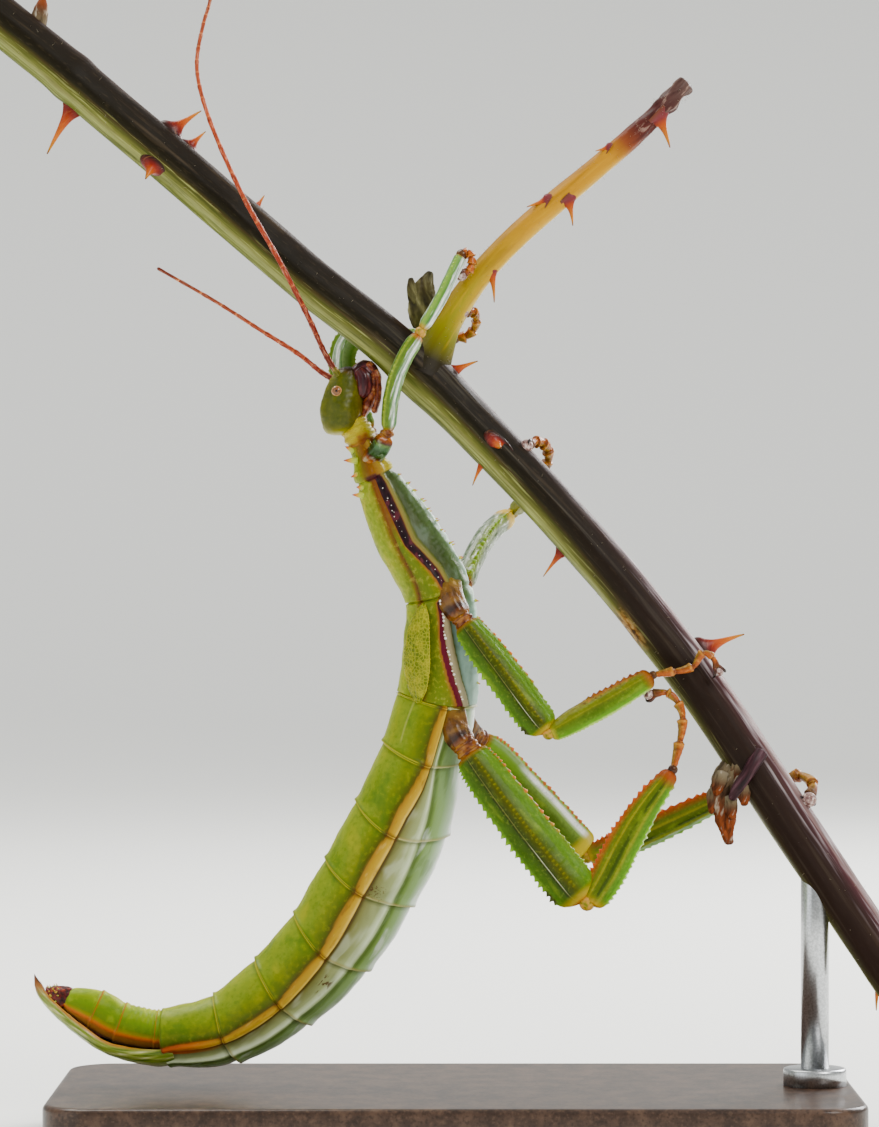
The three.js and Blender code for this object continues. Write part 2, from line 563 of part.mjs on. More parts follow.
for (const [name, leg] of Object.entries(LEGS)) {
  const sizes = LEG_SIZES[name.split('_')[0]];
  const hinge = chord(leg.femur).cross(chord(leg.tibia)).normalize();
  const femurUp = hinge.clone().cross(chord(leg.femur));
  const tibiaUp = hinge.clone().cross(chord(leg.tibia));
  const tarsusUp = hinge.clone();
  const coxaSolid = (grow) => sweep(limbStations(leg.coxa, sizes.coxa), {
    up: femurUp, sides: 10, rows: 3, grow,
  });
  const femurSolid = (grow) => sweep(limbStations(leg.femur, sizes.femur), {
    up: femurUp, shape: LIMB_OUTLINE, sides: 12, rows: 6, grow, swell: kneeTaper,
  });
  const tibiaSolid = (grow) => sweep(limbStations(leg.tibia, sizes.tibia), {
    up: tibiaUp, shape: LIMB_OUTLINE, sides: 10, rows: 5, grow,
  });
  const body = [thoraxRoom, abdomenRoom, neckRoom, headRoom];
  const perch = [caneRoom, shootRoom];
  add(`leg_${name}_coxa`, trim(coxaSolid(0), ...body), FINISHES.coxa());
  add(`leg_${name}_femur`, trim(femurSolid(0), coxaSolid(GAP), ...body, ...perch), FINISHES.leg());
  add(`leg_${name}_tibia`, trim(tibiaSolid(0), femurSolid(GAP), ...perch), FINISHES.leg());
  const foot = trim(tarsusSolid(leg.tarsus, sizes.tarsus, tarsusUp), tibiaSolid(GAP), ...perch);
  add(`leg_${name}_tarsus`, foot, FINISHES.tarsus());
}

// ---------------------------------------------------------------- stand

/** A rectangle about the origin with its four corners rounded off. */
function roundedRectangle(length, depth, corner) {
  const shape = new THREE.Shape();
  const [x, y] = [length / 2 - corner, depth / 2 - corner];
  shape.absarc(x, y, corner, 0, Math.PI / 2);
  shape.absarc(-x, y, corner, Math.PI / 2, Math.PI);
  shape.absarc(-x, -y, corner, Math.PI, 1.5 * Math.PI);
  shape.absarc(x, -y, corner, 1.5 * Math.PI, 2 * Math.PI);
  return shape;
}

const { length, depth, thickness, corner, bevel } = STAND;
const slabOutline = roundedRectangle(length - 2 * bevel, depth - 2 * bevel, corner - bevel);
const slab = new THREE.ExtrudeGeometry(slabOutline, {
  depth: thickness - 2 * bevel, bevelThickness: bevel, bevelSize: bevel, bevelSegments: 1, curveSegments: 4,
});
slab.translate(0, 0, bevel);
add('stand_base', toSolid(slab), FINISHES.base());

/** An upright round bar standing at the rod's place. */
function upright(radius, bottom, top) {
  const bar = new THREE.CylinderGeometry(radius, radius, top - bottom, 16);
  bar.rotateX(Math.PI / 2);
  bar.translate(STAND.rodX, 0, (top + bottom) / 2);
  return toSolid(bar);
}
const collarTop = STAND.thickness + STAND.collarHeight;
add('stand_collar', upright(STAND.collarRadius, STAND.thickness, collarTop), FINISHES.steel());
add('stand_rod', trim(upright(STAND.rodRadius, collarTop, STAND.rodTop), caneRoom), FINISHES.steel());

export default insect;
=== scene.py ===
"""The looks of a green stick insect hanging from a thorny bramble cane, held up by a plain stand.

Shapes are worked out in millimetres in the row frame: +Z is up, the insect hangs in the plane
Y = 0 with its back towards -X, and its right-hand legs are at -Y. They become metres when a mesh
is built. A body section is measured by its turn: 0 degrees at the back, 180 at the belly.
"""

import logging
import math
from collections.abc import Callable, Mapping, Sequence
from dataclasses import dataclass, field
from enum import Enum

import bpy
import numpy as np
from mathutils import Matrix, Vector


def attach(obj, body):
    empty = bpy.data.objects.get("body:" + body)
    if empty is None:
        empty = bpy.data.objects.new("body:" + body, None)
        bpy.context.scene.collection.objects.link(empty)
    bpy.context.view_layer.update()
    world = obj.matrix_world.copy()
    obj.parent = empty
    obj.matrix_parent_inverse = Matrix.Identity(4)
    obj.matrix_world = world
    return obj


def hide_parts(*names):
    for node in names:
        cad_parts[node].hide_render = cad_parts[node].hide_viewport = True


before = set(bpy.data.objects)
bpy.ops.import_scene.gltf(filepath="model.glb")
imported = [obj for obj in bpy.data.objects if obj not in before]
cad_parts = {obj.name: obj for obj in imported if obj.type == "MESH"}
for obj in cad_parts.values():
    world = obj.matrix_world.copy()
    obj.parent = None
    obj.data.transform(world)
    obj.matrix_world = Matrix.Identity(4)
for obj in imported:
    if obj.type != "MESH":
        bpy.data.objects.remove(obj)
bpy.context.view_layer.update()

LOG = logging.getLogger("stick_insect")
Array = np.ndarray
Point = tuple[float, float, float]
Rows = tuple[tuple[float, ...], ...]
Socket = bpy.types.NodeSocket

MM = 0.001
BODY = "root"


# ---------------------------------------- shape helpers


def unit(vectors: Array | Sequence[float]) -> Array:
    """Scales vectors to a length of one."""
    vectors = np.asarray(vectors, float)
    return vectors / np.maximum(np.linalg.norm(vectors, axis=-1, keepdims=True), 1e-12)


def ease(value: Array | float) -> Array:
    """Turns 0 to 1 into a soft start and a soft stop."""
    value = np.clip(value, 0.0, 1.0)
    return value * value * (3 - 2 * value)


def bell(distance: Array | float, width: float | Array) -> Array:
    """A soft bump, 1 at no distance and near 0 two widths away."""
    return np.exp(-((distance / width) ** 2))


def ripple(first: Array, second: Array, size: float, seed: int) -> Array:
    """Smooth unevenness over two directions.

    Args:
        first: Millimetres in one direction.
        second: Millimetres in the other.
        size: The usual width of a bump in millimetres.
        seed: Which pattern.

    Returns:
        About -1 to 1.
    """
    draw = np.random.default_rng(seed)
    total = np.zeros(np.broadcast(first, second).shape)
    for _ in range(7):
        heading, phase = draw.uniform(0, 2 * math.pi, 2)
        pace = math.pi / size * draw.uniform(0.5, 1.5)
        total += np.sin(pace * (first * math.cos(heading) + second * math.sin(heading)) + phase)
    return total / 4


def spline(points: Array, at: Array, centripetal: bool) -> Array:
    """Follows a Catmull-Rom curve.

    Args:
        points: The points it passes through, one a row.
        at: Where along it, counted in points from 0.
        centripetal: Whether uneven spacing is allowed for.

    Returns:
        A point for each value of at.
    """
    points = np.asarray(points, float)
    padded = np.vstack([2 * points[0] - points[1], points, 2 * points[-1] - points[-2]])
    span = np.clip(np.floor(at).astype(int), 0, len(points) - 2)
    share = (at - span)[..., None]
    before, start, stop, after = (padded[span + step] for step in range(4))
    if centripetal:
        pairs = ((before, start), (start, stop), (stop, after))
        gaps = [np.linalg.norm(b - a, axis=-1, keepdims=True) ** 0.5 + 1e-9 for a, b in pairs]
        leave = (start - before) / gaps[0] - (stop - before) / (gaps[0] + gaps[1])
        leave = (leave + (stop - start) / gaps[1]) * gaps[1]
        arrive = (stop - start) / gaps[1] - (after - start) / (gaps[1] + gaps[2])
        arrive = (arrive + (after - stop) / gaps[2]) * gaps[1]
    else:
        leave, arrive = (stop - before) / 2, (after - start) / 2
    square = 3 * (stop - start) - 2 * leave - arrive
    cube = 2 * (start - stop) + leave + arrive
    return start + leave * share + square * share**2 + cube * share**3


@dataclass(frozen=True)
class Rail:
    """A line with a section at each station.

    Stations are x, y, z, depth and width. The depth lies along up, square to the line.
    """

    stations: Rows
    up: Point

    @property
    def last(self) -> int:
        """The number of the last station."""
        return len(self.stations) - 1

    @property
    def length(self) -> float:
        """The line's length in millimetres."""
        steps = np.diff(self.places(np.linspace(0, self.last, 200)), axis=0)
        return float(np.linalg.norm(steps, axis=1).sum())

    def places(self, at: Array) -> Array:
        """Points on the line, at stations counted from 0."""
        return spline(np.array(self.stations)[:, :3], np.asarray(at, float), True)

    def sizes(self, at: Array) -> Array:
        """Depth and width at each place."""
        return spline(np.array(self.stations)[:, 3:5], np.asarray(at, float), False)

    def arc(self, at: Array) -> Array:
        """Millimetres round the section for each degree."""
        return self.sizes(at).mean(axis=-1) / 2 * math.pi / 180

    def along(self, at: Array) -> Array:
        """Millimetres along the line at each place."""
        fine = np.linspace(min(0.0, float(at.min())), max(float(self.last), float(at.max())), 600)
        steps = np.linalg.norm(np.diff(self.places(fine), axis=0), axis=1)
        return np.interp(at, fine, np.concatenate([[0.0], np.cumsum(steps)]))

    def frames(self, at: Array) -> tuple[Array, Array, Array]:
        """The way on, the way up and the way to the side at each place."""
        at = np.asarray(at, float)
        forward = unit(self.places(at + 1e-3) - self.places(at - 1e-3))
        up = np.asarray(self.up, float)
        rise = unit(up - forward * (forward @ up)[..., None])
        return forward, rise, np.cross(forward, rise)

    def surface(self, at: Array, turn: Array, share: Array | float = 1.0,
                push: Array | float = 0.0) -> Array:
        """Points on the skin round the line.

        Args:
            at: Stations, one for each point.
            turn: Angles from up, in degrees, one for each point.
            share: How much of the section's size to take.
            push: Millimetres to move out.

        Returns:
            The points, with three numbers on the last axis.
        """
        at, turn = np.broadcast_arrays(np.asarray(at, float), np.radians(turn))
        _, rise, side = self.frames(at)
        half = self.sizes(at) / 2 * np.asarray(share)[..., None]
        upward = (half[..., 0] * np.cos(turn))[..., None]
        sideways = (half[..., 1] * np.sin(turn))[..., None]
        out = unit(rise * (half[..., 1:] * np.cos(turn)[..., None] + 1e-9)
                   + side * (half[..., :1] * np.sin(turn)[..., None]))
        return self.places(at) + rise * upward + side * sideways + out * np.asarray(push)[..., None]


def domed(rows: int, length: float, start: float, end: float) -> tuple[Array, Array]:
    """Spaces rows along a closed shape with rounded ends.

    Args:
        rows: How many rows between the two domes.
        length: The shape's length.
        start: How long the first dome is, or 0 for a flat end.
        end: The same for the last one.

    Returns:
        Places from 0 to 1, and the section's share of its full size at each.
    """
    arc = np.linspace(0.14, math.pi / 2, 7)
    places, shares = [np.linspace(start, length - end, rows) / length], [np.ones(rows)]
    if start:
        places.insert(0, start / length * (1 - np.cos(arc[:-1])))
        shares.insert(0, np.sin(arc[:-1]))
    if end:
        places.append(1 - end / length * (1 - np.cos(arc[-2::-1])))
        shares.append(np.sin(arc[-2::-1]))
    return np.concatenate(places), np.concatenate(shares)


def numbers(text: str) -> Rows:
    """Reads rows of numbers, with commas between the rows."""
    return tuple(tuple(float(number) for number in row.split()) for row in text.split(","))


def table(rows: Rows, at: Array | float) -> Array:
    """Reads the values between rows that start with a place: one number, or one for each column."""
    columns = np.array(rows).T
    values = [np.interp(at, columns[0], column) for column in columns[1:]]
    return values[0] if len(values) == 1 else np.stack(values, axis=-1)


def full_turn(columns: int, crowd: float = 0.0) -> Array:
    """Angles once round in degrees, evenly spaced, or crowded towards the back and the belly."""
    turn = np.linspace(-math.pi, math.pi, columns, endpoint=False)
    return np.degrees(turn - crowd * np.sin(2 * turn))


# ---------------------------------------- meshes


class Mark(Enum):
    """Numbers that a mesh carries for its finish to read."""

    ALONG = "along"  # millimetres along the piece
    ACROSS = "across"  # millimetres round it from its top line
    FLANK = "flank"  # 0 at the back to 5 at the belly, whole at each landmark between
    LENGTH = "length"  # how far through the body ring, 0 to 1
    REACH = "reach"  # 0 at the root to 1 at the tip
    EDGE = "edge"  # 0 at the top line to 1 at the bottom line
    STATION = "station"  # stations from the neck
    INSIDE = "inside"  # 1 on an inner face


ALONG, ACROSS, FLANK, LENGTH, REACH, EDGE, STATION, INSIDE = Mark


@dataclass
class Patch:
    """Points in millimetres, faces of three or four of them, and the marks they carry."""

    points: Array
    faces: list[tuple[int, ...]]
    marks: dict[Mark, Array] = field(default_factory=dict)


def tube(points: Array, marks: Mapping[Mark, Array] | None = None) -> Patch:
    """Closes rows of points into a capped tube.

    Args:
        points: Rows by columns by three.
        marks: Numbers of rows by columns.

    Returns:
        The closed patch, its faces turned out.
    """
    rows, columns, _ = points.shape
    index = np.arange(rows * columns).reshape(rows, columns)
    ahead = np.roll(index, -1, axis=1)
    quads = np.stack([index[:-1], ahead[:-1], ahead[1:], index[1:]], axis=-1).reshape(-1, 4)
    first, last = rows * columns, rows * columns + 1
    faces = [tuple(quad) for quad in quads.tolist()]
    faces += [(first, b, a) for a, b in zip(index[0].tolist(), ahead[0].tolist())]
    faces += [(last, a, b) for a, b in zip(index[-1].tolist(), ahead[-1].tolist())]
    poles = np.stack([points[0].mean(axis=0), points[-1].mean(axis=0)])
    carried = {}
    for mark, values in (marks or {}).items():
        values = np.broadcast_to(values, (rows, columns))
        carried[mark] = np.concatenate([values.ravel(), [values[0].mean(), values[-1].mean()]])
    return Patch(np.vstack([points.reshape(-1, 3), poles]), faces, carried)


def level_ring(radius: float, height: float, columns: int, middle: float = 0.0) -> Array:
    """A level circle of points, its middle at some place along X."""
    turn = np.linspace(0, 2 * math.pi, columns, endpoint=False)
    x, y = middle + radius * np.cos(turn), radius * np.sin(turn)
    return np.stack([x, y, np.full(columns, height)], axis=-1)


def copies(block: Array, wall: Sequence[tuple[int, ...]], heights: Array) -> Patch:
    """One shape many times over: each copy's points, the faces of one and its REACH."""
    count, size, _ = block.shape
    faces = [tuple(corner + number * size for corner in face) for number in range(count) for face in wall]
    return Patch(block.reshape(-1, 3), faces, {REACH: np.tile(heights, count)})


def spikes(roots: Array, tips: Array, radius: float | Array, sides: int = 7,
           waist: float = 0.55) -> Patch:
    """Many small cones.

    Args:
        roots: Where each starts, one a row.
        tips: Where each ends.
        radius: The radius at the root.
        sides: Faces round each.
        waist: The radius half-way up, as a share of the root's.

    Returns:
        All of them, with REACH from root to tip.
    """
    count = len(roots)
    axis = unit(tips - roots)
    helper = np.where(np.abs(axis[:, 2:]) < 0.9, [[0.0, 0.0, 1.0]], [[1.0, 0.0, 0.0]])
    first = unit(np.cross(axis, helper))
    second = np.cross(axis, first)
    turn = np.linspace(0, 2 * math.pi, sides, endpoint=False)
    levels = np.array([0.0, 0.25, 0.5, 0.8])
    widths = np.array([1.0, (1 + waist) / 2, waist, waist * 0.45])
    ring = first[:, None] * np.cos(turn)[None, :, None] + second[:, None] * np.sin(turn)[None, :, None]
    reach = np.broadcast_to(np.asarray(radius, float), (count,))[:, None, None, None]
    middle = roots[:, None] + (tips - roots)[:, None] * levels[None, :, None]
    points = middle[:, :, None] + ring[:, None] * widths[None, :, None, None] * reach
    block = np.concatenate([points.reshape(count, -1, 3), roots[:, None], tips[:, None]], axis=1)
    size, wall = block.shape[1], []
    for level in range(len(levels) - 1):
        for side in range(sides):
            a, b = level * sides + side, level * sides + (side + 1) % sides
            wall.append((a, b, b + sides, a + sides))
    top = (len(levels) - 1) * sides
    for side in range(sides):
        wall.append(((side + 1) % sides, side, size - 2))
        wall.append((top + side, top + (side + 1) % sides, size - 1))
    return copies(block, wall, np.concatenate([np.repeat(levels, sides), [0.0, 1.0]]))


def beads(centres: Array, radius: float | Array) -> Patch:
    """Many small balls of eight-sided rings."""
    count = len(centres)
    turn = np.linspace(0, 2 * math.pi, 8, endpoint=False)
    lift = np.radians([-60, -25, 10, 45])
    flat = np.cos(lift)[:, None, None] * np.stack([np.cos(turn), 0 * turn, np.sin(turn)], -1)
    ball = flat + np.sin(lift)[:, None, None] * np.array([0.0, 1.0, 0.0])
    ends = np.array([[0.0, -1.0, 0.0], [0.0, 1.0, 0.0]])
    shape = np.concatenate([ball.reshape(-1, 3), ends])
    sizes = np.broadcast_to(np.asarray(radius, float), (count,))[:, None, None]
    points = centres[:, None] + shape[None] * sizes
    wall = []
    for level in range(3):
        for side in range(8):
            a, b = level * 8 + side, level * 8 + (side + 1) % 8
            wall.append((a, a + 8, b + 8, b))
    for side in range(8):
        wall.append((side, (side + 1) % 8, 32))
        wall.append((24 + (side + 1) % 8, 24 + side, 33))
    return copies(points, wall, np.full(34, 0.5))


# ---------------------------------------- finishes


def linear(code: str) -> tuple[float, float, float, float]:
    """Turns an sRGB hex value such as 86A236 to linear light."""
    values = [int(code[place:place + 2], 16) / 255 for place in (0, 2, 4)]
    light = [v / 12.92 if v <= 0.04045 else ((v + 0.055) / 1.055) ** 2.4 for v in values]
    return (*light, 1.0)


class Pattern(Enum):
    """The made-up unevenness a coat can follow."""

    CLOUDS = "ShaderNodeTexNoise"
    CELLS = "ShaderNodeTexVoronoi"


@dataclass(frozen=True)
class Grain:
    """A pattern with blotches of a real size in millimetres.

    With along above 1 they are that many times longer along the piece than across it.
    """

    size: float
    along: float = 1.0
    detail: float = 3.0
    pattern: Pattern = Pattern.CLOUDS


@dataclass(frozen=True)
class Beat:
    """A pattern that repeats along a mark, with its period in the mark's own unit."""

    mark: Mark
    period: float
    wobble: float = 0.0


Source = Mark | Grain | Beat


@dataclass(frozen=True)
class Window:
    """The part of a piece where a mark lies between two values, with soft edges."""

    mark: Mark
    low: float
    high: float
    soft: float = 0.02


@dataclass(frozen=True)
class Coat:
    """One layer of colour over a source.

    The stops are written as place, colour and optionally cover, with commas between them.
    """

    source: Source
    stops: str
    within: tuple[Window, ...] = ()
    scale: float = 1.0  # what the source is divided by before the stops read it


def coat(source: Source, stops: str, *within: Window, scale: float = 1.0) -> Coat:
    """A coat with the windows it is limited to."""
    return Coat(source, stops, within, scale)


def flecks(size: float, along: float, dark: str, light: str, cover: float, *within: Window) -> Coat:
    """Uneven blotches, some darker and some lighter than the coat they lie on."""
    stops = f".36 {dark} {cover}, .47 {dark} 0, .57 {light} 0, .68 {light} {cover}"
    return coat(Grain(size, along, 4), stops, *within)


@dataclass(frozen=True)
class Relief:
    """Fine height that is too small for the mesh, in millimetres."""

    source: Grain
    height: float


class Graph:
    """A material's node tree."""

    def __init__(self, name: str) -> None:
        """Starts an empty material of that name."""
        self.material = bpy.data.materials.new(name)
        self.material.use_nodes = True
        self.tree = self.material.node_tree
        self.tree.nodes.clear()

    def add(self, kind: str, links: Mapping[str | int, object] | None = None,
            **settings: object) -> bpy.types.Node:
        """Adds a node.

        Args:
            kind: The node's type.
            links: Socket names or numbers, each with a value or the socket it takes it from.
            **settings: The node's own settings.

        Returns:
            The new node.
        """
        node = self.tree.nodes.new(kind)
        for name, value in settings.items():
            setattr(node, name, value)
        for key, value in (links or {}).items():
            if isinstance(value, Socket):
                self.tree.links.new(value, node.inputs[key])
            else:
                node.inputs[key].default_value = value
        return node

    def read(self, source: Source) -> Socket:
        """Gives the socket that carries a source's value."""
        if isinstance(source, Mark):
            mark = self.add("ShaderNodeAttribute", attribute_name=source.value)
            return mark.outputs["Fac"]
        if isinstance(source, Beat):
            place = self.read(source.mark)
            if source.wobble:
                cloud = self.read(Grain(source.period * 3))
                place = self.add("ShaderNodeMath", {0: cloud, 1: source.wobble * source.period, 2: place},
                                 operation="MULTIPLY_ADD").outputs[0]
            beat = self.add("ShaderNodeMath", {0: place, 1: source.period}, operation="DIVIDE")
            return self.add("ShaderNodeMath", {0: beat.outputs[0]}, operation="FRACT").outputs[0]
        if source.along == 1:
            spot = self.add("ShaderNodeTexCoord").outputs["Object"]
            scale = 1 / (source.size * MM)
        else:
            lengthwise = self.add("ShaderNodeMath", {0: self.read(ALONG), 1: source.along},
                                  operation="DIVIDE")
            pair = {"X": lengthwise.outputs[0], "Y": self.read(ACROSS)}
            spot = self.add("ShaderNodeCombineXYZ", pair).outputs[0]
            scale = 1 / source.size
        links = {"Vector": spot, "Scale": scale}
        if source.pattern is Pattern.CLOUDS:
            return self.add(source.pattern.value, {**links, "Detail": source.detail}).outputs[0]
        return self.add(source.pattern.value, links, feature="DISTANCE_TO_EDGE").outputs[0]

    def where(self, windows: Sequence[Window], cover: Socket | float,
              ) -> Socket | float:
        """Limits a cover to some windows.

        Args:
            windows: Where it may show; it shows in all of them at once.
            cover: How much it covers, 0 to 1.

        Returns:
            The limited cover.
        """
        for window in windows:
            value = self.read(window.mark)
            for edge, rising in ((window.low, 1.0), (window.high, 0.0)):
                limits = {"Value": value, "From Min": edge - window.soft,
                          "From Max": edge + window.soft, "To Min": 1 - rising, "To Max": rising}
                gate = self.add("ShaderNodeMapRange", limits, interpolation_type="SMOOTHSTEP")
                cover = self.add("ShaderNodeMath", {0: cover, 1: gate.outputs[0]},
                                 operation="MULTIPLY").outputs[0]
        return cover

    def ramp(self, value: Socket, stops: str) -> bpy.types.Node:
        """Turns a value to colour.

        Args:
            value: What to look up.
            stops: Places, colours and covers, as a coat has them.

        Returns:
            The ramp's node, with Color and Alpha.
        """
        node = self.add("ShaderNodeValToRGB", {"Fac": value})
        elements = node.color_ramp.elements
        rows = [stop.split() for stop in stops.split(",")]
        for number, (place, code, *cover) in enumerate(rows):
            element = elements[number] if number < 2 else elements.new(float(place))
            element.position = float(place)
            element.color = (*linear(code)[:3], float(cover[0]) if cover else 1.0)
        if len(rows) == 1:
            elements.remove(elements[1])
        return node

    def paint(self, coats: Sequence[Coat]) -> Socket | tuple[float, ...]:
        """Lays the coats one on another and gives the colour, or the one plain colour."""
        if len(coats) == 1 and "," not in coats[0].stops:
            return linear(coats[0].stops.split()[1])
        colour = None
        for coat in coats:
            value = self.read(coat.source)
            if coat.scale != 1:
                value = self.add("ShaderNodeMath", {0: value, 1: coat.scale}, operation="DIVIDE").outputs[0]
            ramp = self.ramp(value, coat.stops)
            if colour is None:
                colour = ramp.outputs["Color"]
                continue
            cover = self.where(coat.within, ramp.outputs["Alpha"])
            mixed = {0: cover, 6: colour, 7: ramp.outputs["Color"]}
            colour = self.add("ShaderNodeMix", mixed, data_type="RGBA").outputs[2]
        return colour

    def emboss(self, reliefs: Sequence[Relief]) -> Socket | None:
        """Chains the fine heights and gives the bent normal, or nothing for a smooth finish."""
        normal = None
        for relief in reliefs:
            links = {"Height": self.read(relief.source), "Distance": relief.height * MM, "Strength": 1.0}
            if normal is not None:
                links["Normal"] = normal
            normal = self.add("ShaderNodeBump", links).outputs[0]
        return normal


GLOW_DEPTH = 0.6 * MM  # how far light soaks in


@dataclass(frozen=True)
class Finish:
    """A surface: what it is, its coats of colour, its fine relief and how it takes light."""

    name: str
    coats: tuple[Coat, ...]
    reliefs: tuple[Relief, ...] = ()
    roughness: float = 0.42
    polish: float = 0.0  # how much the roughness falls in blotches
    ior: float = 1.42
    shine: float = 0.2  # how strongly it mirrors, 0.5 for clean glass
    metallic: float = 0.0
    clear_coat: float = 0.0
    glow: float = 0.0  # share of the light that soaks through

    def material(self) -> bpy.types.Material:
        """Gives the finish's material, made the first time it is asked for."""
        found = bpy.data.materials.get(self.name)
        if found:
            return found
        graph = Graph(self.name)
        shell = graph.add("ShaderNodeBsdfPrincipled", {
            "Base Color": graph.paint(self.coats), "Roughness": self.roughness, "IOR": self.ior,
            "Specular IOR Level": self.shine, "Metallic": self.metallic,
            "Coat Weight": self.clear_coat, "Coat Roughness": 0.15,
        })
        if self.polish:
            patchy = graph.read(Grain(2.5, detail=5))
            links = {"Value": patchy, "From Min": 0.35, "From Max": 0.65,
                     "To Min": self.roughness - self.polish, "To Max": self.roughness + self.polish}
            varied = graph.add("ShaderNodeMapRange", links)
            graph.tree.links.new(varied.outputs[0], shell.inputs["Roughness"])
        if self.glow:
            shell.inputs["Subsurface Weight"].default_value = self.glow
            shell.inputs["Subsurface Radius"].default_value = (1.0, 0.9, 0.35)
            shell.inputs["Subsurface Scale"].default_value = GLOW_DEPTH
        normal = graph.emboss(self.reliefs)
        if normal is not None:
            graph.tree.links.new(normal, shell.inputs["Normal"])
        graph.add("ShaderNodeOutputMaterial", {"Surface": shell.outputs[0]})
        return graph.material


class Shell:
    """Collects patches into one mesh object."""

    def __init__(self, name: str, slot: str, *nodes: str) -> None:
        """Takes the piece's name, a slot name and the CAD nodes it stands for."""
        self.name, self.slot, self.nodes = name, slot, nodes
        self.parts: list[tuple[Patch, Array, list[Finish]]] = []

    def add(self, patch: Patch, *finishes: Finish, pick: Array | None = None) -> None:
        """Adds a patch.

        Args:
            patch: The points and faces.
            *finishes: Its finish, or several.
            pick: Which finish each face has, where there are several.
        """
        picked = np.zeros(len(patch.faces), int) if pick is None else pick
        self.parts.append((patch, picked, list(finishes)))

    def build(self) -> None:
        """Makes the object in metres and hangs it on the body of the row."""
        points = np.vstack([patch.points for patch, _, _ in self.parts]) * MM
        faces, picks, finishes = [], [], []
        values: dict[Mark, list[Array]] = {}
        used = {mark for patch, _, _ in self.parts for mark in patch.marks}
        start = 0
        for patch, pick, own in self.parts:
            faces += [tuple(corner + start for corner in face) for face in patch.faces]
            places = []
            for finish in own:
                if finish not in finishes:
                    finishes.append(finish)
                places.append(finishes.index(finish))
            picks.append(np.array(places)[pick])
            for mark in used:
                none = np.zeros(len(patch.points))
                values.setdefault(mark, []).append(patch.marks.get(mark, none))
            start += len(patch.points)
        mesh = bpy.data.meshes.new(self.name)
        mesh.from_pydata(points.tolist(), [], faces)
        for finish in finishes:
            mesh.materials.append(finish.material())
        mesh.polygons.foreach_set("material_index", np.concatenate(picks).astype(np.int32))
        mesh.polygons.foreach_set("use_smooth", np.full(len(mesh.polygons), True))
        for mark in sorted(used, key=lambda item: item.value):
            layer = mesh.attributes.new(mark.value, "FLOAT", "POINT")
            layer.data.foreach_set("value", np.concatenate(values[mark]).astype(np.float32))
        mesh.update()
        piece = bpy.data.objects.new(self.name, mesh)
        bpy.context.scene.collection.objects.link(piece)
        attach(piece, BODY)
        if self.nodes:
            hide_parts(*self.nodes)
        LOG.info("%s: %d faces, %d finishes", self.name, len(faces), len(finishes))


def single(name: str, slot: str, node: str, patch: Patch, finish: Finish) -> None:
    """Makes a piece of one patch."""
    shell = Shell(name, slot, node)
    shell.add(patch, finish)
    shell.build()


# ---------------------------------------- the body's finishes

# Gives the damp, slightly see-through look of living skin.
SKIN_GLOW = 0.12
PORES = Relief(Grain(0.28, detail=2), 0.025)
WRINKLES = Relief(Grain(0.7, along=0.5, detail=2), 0.025)
